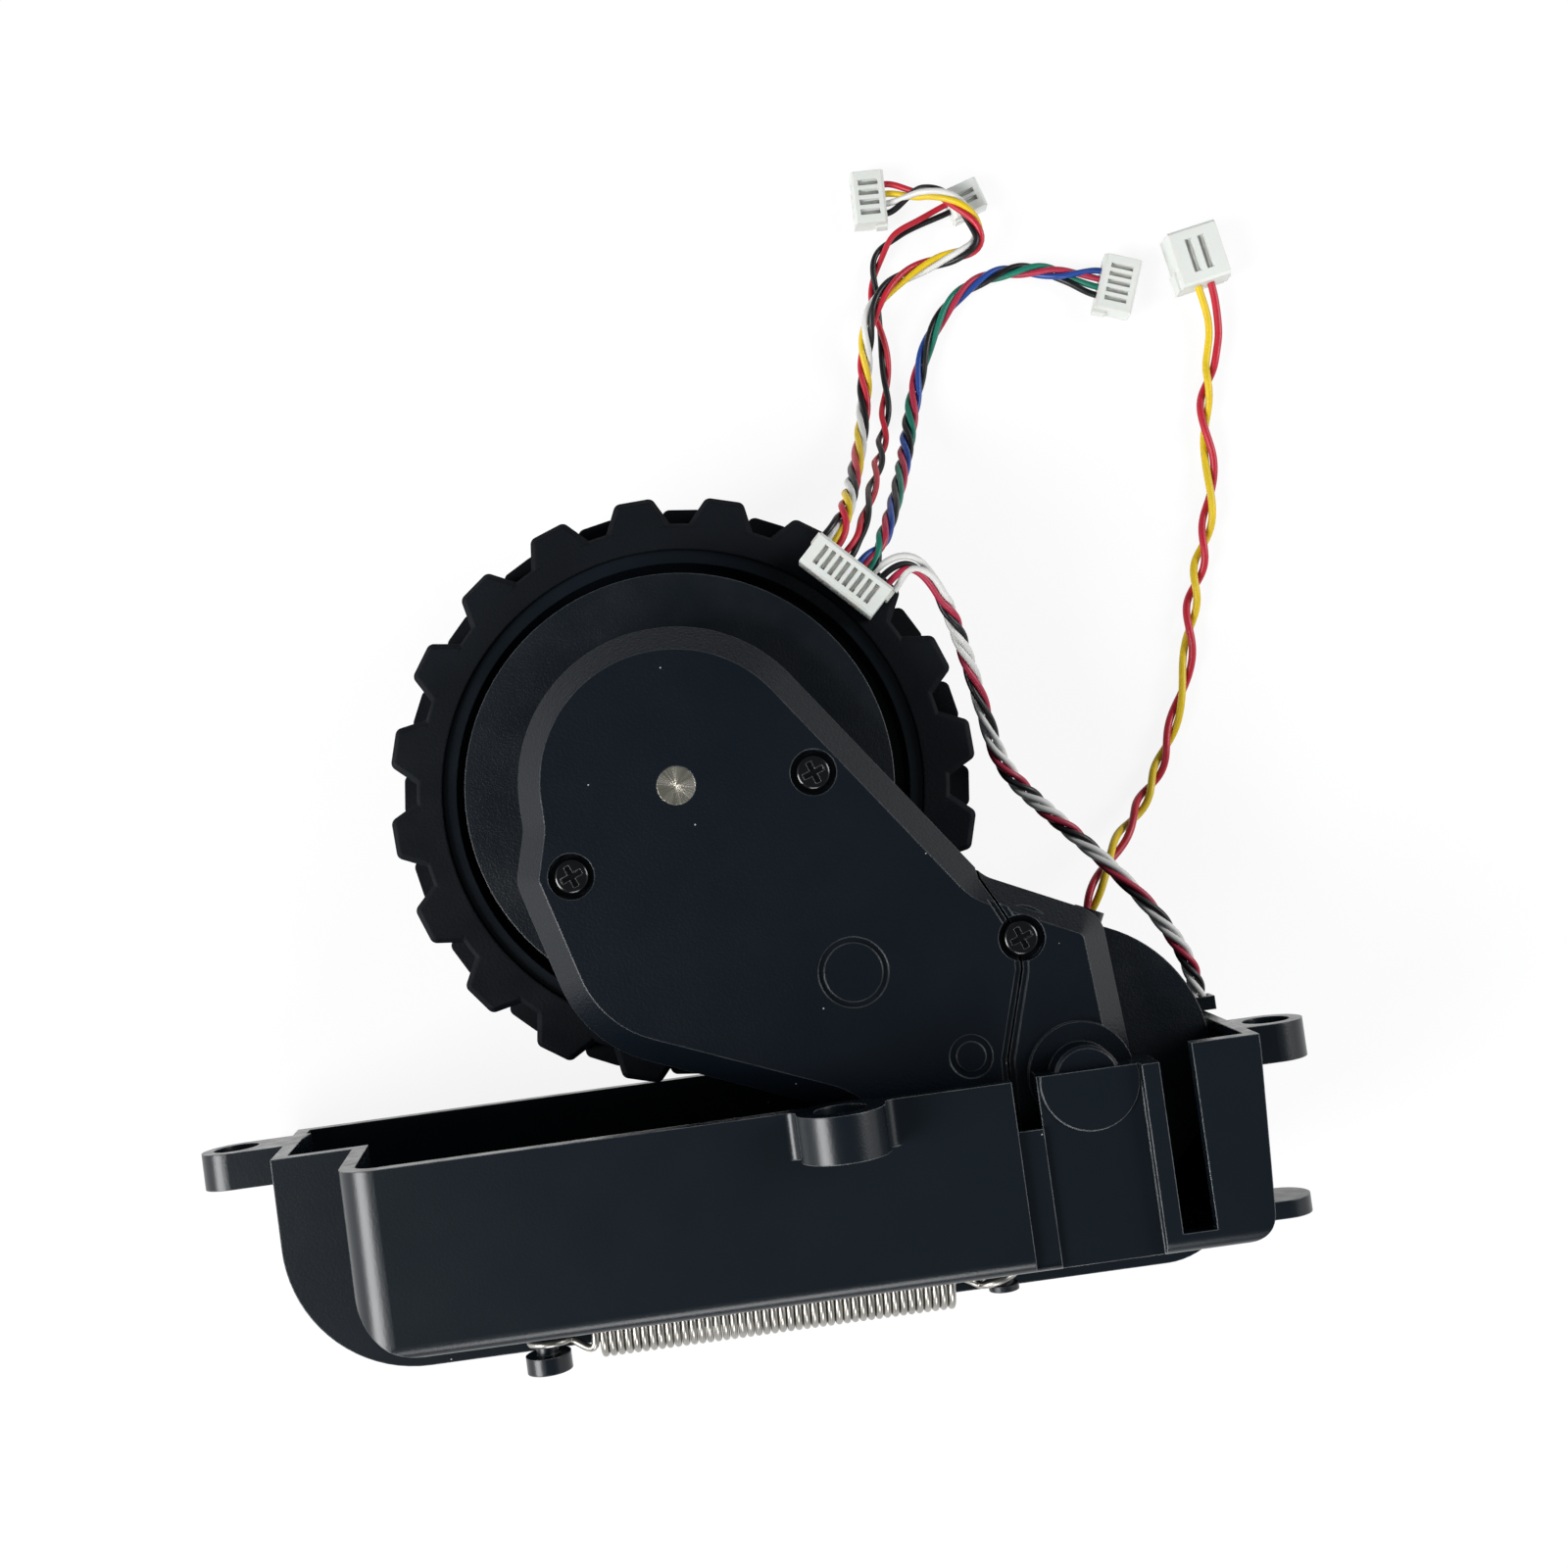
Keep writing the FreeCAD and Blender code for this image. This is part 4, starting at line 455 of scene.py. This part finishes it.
# Return spring
# A close-wound extension spring of 1 mm bright steel wire, with a full loop bent out at each end: one
# round the tray's post, the other round the lever's pin, where it leans halfway with the pin's swing.
coil_start = -0.0668
coil_end = -0.0200
coil_height = 0.0335
coil_y = -0.0259
coil_radius = 0.00275
coil_turns = 44
coil_steps = 20
wire_radius = 0.0005
wire_sides = 10
loop_left = -0.0730
loop_right = -0.0137
loop_from = math.radians(28)
loop_to = math.radians(345)
loop_steps = 48
pin_x = -0.0130
pin_lean = math.radians(14.5)
pin_rise = 0.00035
join_steps = 14
loop_pull = 12
coil_pull = np.array([0.0004, 0.009, 0.0])


def carry_frames(path):
    """Tangent, normal and binormal along a path: each normal is the last one laid flat on the new tangent."""
    tangent = np.gradient(path, axis=0)
    tangent /= np.linalg.norm(tangent, axis=1)[:, None]
    normal = np.empty_like(path)
    first = np.cross(tangent[0], (0.0, 0.0, 1.0))
    if np.linalg.norm(first) < 1e-3:
        first = np.cross(tangent[0], (0.0, 1.0, 0.0))
    normal[0] = first / np.linalg.norm(first)
    for i in range(1, len(path)):
        flat = normal[i - 1] - tangent[i] * (normal[i - 1] @ tangent[i])
        normal[i] = flat / np.linalg.norm(flat)
    return tangent, normal, np.cross(tangent, normal)


def wire_grid(path, radius):
    """Round wire: ring i, side j lies at path i plus radius times (cos a n + sin a b), where n and b are
    the path's normal and binormal and a = 2 pi j / sides."""
    _, normal, binormal = carry_frames(path)
    angle = np.arange(wire_sides) * 2 * np.pi / wire_sides
    around = np.cos(angle)[None, :, None] * normal[:, None] + np.sin(angle)[None, :, None] * binormal[:, None]
    verts = (path[:, None] + radius * around).reshape(-1, 3)
    i, j = np.meshgrid(np.arange(len(path) - 1), np.arange(wire_sides), indexing="ij")
    this_ring, next_ring = i * wire_sides, (i + 1) * wire_sides
    next_side = (j + 1) % wire_sides
    faces = np.stack([this_ring + j, this_ring + next_side, next_ring + next_side, next_ring + j], -1)
    return verts, faces.reshape(-1, 4)


def add_piece(name, verts, faces, materials, face_material=None, caps=()):
    """New smooth mesh object at the origin, from arrays of corners and four-sided faces and from caps."""
    mesh = bpy.data.meshes.new(name)
    mesh.from_pydata(verts.tolist(), [], faces.tolist() + [list(c) for c in caps])
    for material in materials:
        mesh.materials.append(material)
    if face_material is not None:
        mesh.polygons.foreach_set("material_index", np.asarray(face_material, dtype=np.int32))
    mesh.polygons.foreach_set("use_smooth", np.full(len(mesh.polygons), True))
    mesh.update()
    piece = bpy.data.objects.new(name, mesh)
    scene.collection.objects.link(piece)
    return piece


def end_loop(centre_x, side):
    """Ring in the plane of X and Z round a post: its point at angle a lies coil_radius times (side cos a,
    sin a) from the post's middle line, for a from loop_from to loop_to, so that its gap faces the coil."""
    angle = np.linspace(loop_from, loop_to, loop_steps)
    return np.stack([centre_x + side * coil_radius * np.cos(angle), np.full_like(angle, coil_y),
                     coil_height + coil_radius * np.sin(angle)], 1)


def bridge(a, slope_a, b, slope_b):
    """Cubic curve from a to b with given end slopes (Hermite form), without its two ends."""
    t = np.linspace(0, 1, join_steps)[1:-1, None]
    return ((2 * t ** 3 - 3 * t ** 2 + 1) * a + (t ** 3 - 2 * t ** 2 + t) * slope_a
            + (3 * t ** 2 - 2 * t ** 3) * b + (t ** 3 - t ** 2) * slope_b)


# The coil is a helix along X: at angle a it has gone a's share of the way from coil_start to coil_end, and
# lies coil_radius times (sin a, cos a) off its middle line. The right ring is turned about the pin's line
# by pin_lean, and a bridge joins each ring to the coil.
turn = np.linspace(0, 2 * np.pi * coil_turns, coil_turns * coil_steps + 1)
coil = np.stack([coil_start + (coil_end - coil_start) * turn / turn[-1],
                 coil_y + coil_radius * np.sin(turn), coil_height + coil_radius * np.cos(turn)], 1)
left_ring = end_loop(loop_left, 1)[::-1]
right_ring = end_loop(loop_right, -1)
from_pin = right_ring[:, 0] - pin_x
right_ring[:, 0] = pin_x + from_pin * math.cos(pin_lean)
right_ring[:, 1] = coil_y + pin_rise + from_pin * math.sin(pin_lean)
join_left = bridge(left_ring[-1], (left_ring[-1] - left_ring[-2]) * loop_pull, coil[0], coil_pull)
join_right = bridge(coil[-1], coil_pull, right_ring[0], (right_ring[1] - right_ring[0]) * loop_pull)
spring_path = np.concatenate([left_ring, join_left, coil, join_right, right_ring])
spring_verts, spring_faces = wire_grid(spring_path, wire_radius)
spring_steel = metal("spring_steel", (0.30, 0.29, 0.265), (0.42, 0.405, 0.37), (0.30, 0.40),
                     grain_size=0.0004, edge_radius=0)
first_cap = range(wire_sides - 1, -1, -1)
last_cap = range(len(spring_verts) - wire_sides, len(spring_verts))
spring_piece = add_piece("return_spring_wire", spring_verts, spring_faces, [spring_steel],
                         caps=(first_cap, last_cap))
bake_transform(spring_piece)
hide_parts("return_spring")


# Wire bundles
# Thin stranded copper in coloured plastic sleeves, twisted by hand in twos and fours. They leave the
# motor cover, and one bundle ends in the plug that rests on the tyre, from which three more go on.

# Each bundle's twist comes faster and slower, and looser and tighter, in waves given in radians to the
# metre.
millimetre = 0.001
sleeve_cloud_cells = 350
sleeve_gloss_cells = 600
sleeve_grain_cells = 3000
line_step = 0.0005
uneven_pace = 0.25
pace_waves = 190
uneven_lay = 0.10
lay_waves = 140
untwist_length = 0.003


def sleeve(name, colour):
    """Soft plastic wire sleeve: its colour, a little paler in patches, and satin."""
    material, tree, shader, place = new_material(name)
    worn = tuple(0.85 * c + 0.008 for c in colour)
    feed(tree, shader, {
        "Base Color": mixed(tree, noise_between(tree, place, sleeve_cloud_cells), worn, colour),
        "Roughness": noise_between(tree, place, sleeve_gloss_cells, 0.3, 0.45),
        "Specular IOR Level": 0.35,
    })
    grain = noise_between(tree, place, sleeve_grain_cells)
    bump_from(tree, shader, grain, strength=0.15, distance=0.00002)
    return material


sleeves = {
    "red": sleeve("sleeve_red", (0.44, 0.012, 0.028)),
    "crimson": sleeve("sleeve_crimson", (0.36, 0.018, 0.05)),
    "yellow": sleeve("sleeve_yellow", (0.66, 0.46, 0.008)),
    "green": sleeve("sleeve_green", (0.005, 0.15, 0.10)),
    "blue": sleeve("sleeve_blue", (0.01, 0.05, 0.25)),
    "black": sleeve("sleeve_black", (0.004, 0.004, 0.005)),
    "white": sleeve("sleeve_white", (0.62, 0.62, 0.60)),
}


def route_line(name, points_mm):
    """Smooth line through a given route: a quadratic spline with the points as its control points,
    read off in even steps. Gives the line's points and its length."""
    curve = bpy.data.curves.new(name, "CURVE")
    curve.dimensions = "3D"
    curve.resolution_u = 16
    spline = curve.splines.new("NURBS")
    spline.points.add(len(points_mm) - 1)
    for point, place in zip(spline.points, points_mm):
        point.co = (*(millimetre * c for c in place), 1)
    spline.order_u = 3
    spline.use_endpoint_u = True
    holder = bpy.data.objects.new(name, curve)
    scene.collection.objects.link(holder)
    mesh = bpy.data.meshes.new_from_object(holder)
    line = np.empty(len(mesh.vertices) * 3)
    mesh.vertices.foreach_get("co", line)
    line = line.reshape(-1, 3)
    bpy.data.objects.remove(holder)
    bpy.data.meshes.remove(mesh)
    run = np.concatenate([[0], np.cumsum(np.linalg.norm(np.diff(line, axis=0), axis=1))])
    even = np.linspace(0, run[-1], int(run[-1] / line_step))
    return np.stack([np.interp(even, run, line[:, c]) for c in range(3)], 1), run[-1]


def smooth_share(distance, length):
    """0 at distance 0, 1 from length on, with a smooth rise."""
    t = np.clip(distance / length, 0, 1)
    return t * t * (3 - 2 * t)


def twisted_bundle(name, points_mm, colours, wire, lay, pitch, start_row=None, end_row=None,
                   phase=0.0, flat_end=0.0, fan=0.006):
    """Wires wound round the route: wire k lies about lay away at angle phase + 2 pi (k/n + turns so far),
    one turn to each pitch, and the turns stop at flat_end before the far plug. At a plug the wires fan out
    over the length fan into a flat row, start_row or end_row apart."""
    centre, length = route_line(name, points_mm)
    tangent, _, _ = carry_frames(centre)
    side = np.cross(tangent, (0.0, 0.0, 1.0))
    side /= np.linalg.norm(side, axis=1)[:, None]
    up = np.cross(side, tangent)
    s = np.linspace(0, length, len(centre))
    pace = 1 + uneven_pace * np.sin(s * pace_waves + phase)
    rate = pace * smooth_share(length - s - flat_end, untwist_length) / pitch
    turns = np.concatenate([[0], np.cumsum(0.5 * (rate[1:] + rate[:-1]) * np.diff(s))])
    reach = lay * (1 + uneven_lay * np.sin(s * lay_waves + 2 * phase))
    verts, faces, marks = [], [], []
    count = len(colours)
    for k in range(count):
        angle = phase + 2 * np.pi * (k / count + turns - turns[-1])
        across, above = reach * np.cos(angle), reach * np.sin(angle)
        for row, away in ((start_row, s), (end_row, length - s)):
            if row:
                share = smooth_share(away, fan)
                across = across * share + (1 - share) * (k - (count - 1) / 2) * row
                above = above * share
        path = centre + across[:, None] * side + above[:, None] * up
        wire_verts, wire_faces = wire_grid(path, wire / 2)
        faces.append(wire_faces + k * len(wire_verts))
        verts.append(wire_verts)
        marks.append(np.full(len(wire_faces), k))
    piece = add_piece(name, np.concatenate(verts), np.concatenate(faces), [sleeves[c] for c in colours],
                      np.concatenate(marks))
    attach(piece, "swing_arm")
    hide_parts(name.replace("_wires", ""))


power_route = [
    (8.35, 17.6, 11.0), (10.6, 22.35, 10.6), (14.6, 27.0, 7.4), (19.6, 32.2, 3.4), (24.0, 37.8, 1.6),
    (26.9, 44.0, 1.6), (30.3, 51.6, 1.6), (32.0, 61.2, 1.6), (35.8, 71.4, 1.6), (38.4, 80.6, 1.6),
    (37.9, 89.6, 1.6), (40.4, 97.8, 1.8), (42.0, 104.0, 2.4), (41.0, 109.6, 2.6),
]
signal_route = [
    (21.6, 4.3, 16.5), (21.5, 9.2, 16.8), (17.6, 17.2, 16.6), (11.4, 25.6, 16.0), (4.7, 33.2, 15.6),
    (-1.6, 40.8, 15.8), (-3.2, 49.8, 17.6), (-5.2, 59.0, 20.8), (-7.4, 66.0, 23.8), (-10.2, 70.0, 25.7),
    (-13.2, 70.2, 26.2), (-15.38, 68.11, 26.2),
]
branch_a_route = [
    (-21.82, 74.69, 26.2), (-20.2, 76.28, 26.2), (-18.4, 80.6, 22.0), (-16.4, 86.0, 13.4),
    (-14.2, 92.4, 5.4), (-12.5, 99.4, 1.5), (-11.6, 105.6, 2.6), (-10.6, 110.6, 5.2), (-8.0, 114.2, 5.4),
    (-4.0, 116.9, 3.8), (0.6, 118.2, 3.8), (4.4, 118.3, 5.4), (7.5, 119.4, 5.6), (7.4, 122.8, 5.4),
    (5.2, 126.2, 5.6), (1.8, 128.7, 5.0), (-1.9, 129.4, 2.4), (-5.2, 129.5, 1.8),
]
branch_b_route = [
    (-19.68, 72.51, 26.2), (-18.0, 74.16, 26.2), (-15.9, 79.2, 22.0), (-13.4, 85.4, 13.2),
    (-10.9, 92.0, 4.8), (-9.1, 99.4, 1.2), (-8.3, 107.0, 1.2), (-9.1, 114.2, 1.2), (-8.2, 120.2, 1.2),
    (-4.8, 123.9, 1.2), (0.4, 125.6, 1.5), (4.2, 126.8, 1.7),
]
branch_c_route = [
    (-17.52, 70.29, 26.2), (-15.8, 71.97, 26.2), (-13.2, 76.8, 22.4), (-10.4, 83.0, 14.0),
    (-7.6, 90.4, 5.6), (-5.2, 98.4, 1.5), (-1.8, 107.2, 1.4), (3.4, 113.6, 1.4), (9.6, 116.1, 1.4),
    (16.2, 115.8, 1.6), (21.4, 113.6, 2.1), (25.2, 112.2, 2.1),
]
twisted_bundle("power_cord_wires", power_route, ("yellow", "red"), wire=0.00115, lay=0.00067,
               pitch=0.0155, end_row=0.0020, phase=math.pi, flat_end=0.0105)
twisted_bundle("signal_cord_wires", signal_route, ("white", "crimson", "black", "white"), wire=0.00095,
               lay=0.00072, pitch=0.0122, end_row=0.00125, phase=1.0,
               flat_end=0.010, fan=0.009)
twisted_bundle("branch_cord_a_wires", branch_a_route, ("black", "white", "yellow", "red"), wire=0.00095,
               lay=0.00068, pitch=0.0175, start_row=0.0008, end_row=0.0015,
               phase=0.3, flat_end=0.006)
twisted_bundle("branch_cord_b_wires", branch_b_route, ("red", "black"), wire=0.0009, lay=0.0005,
               pitch=0.015, start_row=0.0010, end_row=0.00125, phase=2.0,
               flat_end=0.008)
twisted_bundle("branch_cord_c_wires", branch_c_route, ("blue", "crimson", "green", "black"),
               wire=0.00095, lay=0.00068, pitch=0.0165, start_row=0.0008,
               end_row=0.00125, phase=1.4, flat_end=0.003)


# Plugs
# Natural nylon crimp housings, slightly see-through at their thin ribs, with a slot over each contact.
# The contacts are bent from tinned bronze strip and show as a thin grey tongue in each slot.
slot_depth_mm = 0.46
tongue_sides = 8
tongue_rings = 6
tongue_rise_mm = 0.12
tongue_reach = (-0.80, -0.22)

nylon = moulded_plastic("nylon", dark=(0.56, 0.58, 0.55), light=(0.63, 0.65, 0.62), rough=(0.3, 0.45),
                        grain_size=0.0006, grain_depth=0.00002, edge_radius=0.00015)
feed(nylon.node_tree, nylon.node_tree.nodes["Principled BSDF"],
     {"Subsurface Weight": 0.12, "Subsurface Scale": 0.001})
tinned = metal("tinned_bronze", (0.42, 0.42, 0.40), (0.60, 0.59, 0.56), (0.4, 0.55))


def contact_tongues(plug, middle_mm, wire_bearing_deg, depth_mm, pins, pitch_mm, width_mm):
    """Row of tongues in a plug's slots: each is half an ellipse across, half its width to each side and
    tongue_rise_mm high over the slot's floor, carried along the plug's depth between the two shares of
    tongue_reach, which count from the middle of its wire end."""
    angle = np.linspace(0, np.pi, tongue_sides)
    along = np.linspace(*tongue_reach, tongue_rings) * depth_mm
    bearing = math.radians(wire_bearing_deg)
    forward = np.array([math.cos(bearing), math.sin(bearing)])
    sideways = np.array([-forward[1], forward[0]])
    slot_floor = 1000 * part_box(plug)[1][2] - slot_depth_mm
    height = np.broadcast_to(slot_floor + tongue_rise_mm * np.sin(angle), (tongue_rings, tongue_sides))
    i, j = np.meshgrid(np.arange(tongue_rings - 1), np.arange(tongue_sides - 1), indexing="ij")
    verts, faces = [], []
    for pin in range(pins):
        side = (pin - (pins - 1) / 2) * pitch_mm + 0.5 * width_mm * np.cos(angle)
        flat = np.array(middle_mm) + along[:, None, None] * forward + side[None, :, None] * sideways
        verts.append(np.concatenate([flat, height[..., None]], -1).reshape(-1, 3) * millimetre)
        a = (pin * tongue_rings + i) * tongue_sides + j
        faces.append(np.stack([a, a + tongue_sides, a + tongue_sides + 1, a + 1], -1).reshape(-1, 4))
    piece = add_piece(plug + "_contacts", np.concatenate(verts), np.concatenate(faces), [tinned])
    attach(piece, "swing_arm")


for plug, middle_mm, wire_bearing_deg, depth_mm, pins, pitch_mm, width_mm in (
    ("harness_plug", (-18.6, 71.4), 44.4, 5.0, 8, 1.25, 0.42),
    ("power_plug", (41.0, 109.6), 280.1, 8.6, 2, 2.0, 0.6),
    ("branch_plug_a", (-5.2, 129.5), -2.0, 5.0, 4, 1.5, 0.5),
    ("branch_plug_b", (4.2, 126.8), 197.5, 5.4, 2, 1.25, 0.42),
    ("branch_plug_c", (25.2, 112.2), 159.8, 5.6, 5, 1.25, 0.42),
):
    finish_node(plug, nylon)
    contact_tongues(plug, middle_mm, wire_bearing_deg, depth_mm, pins, pitch_mm, width_mm)
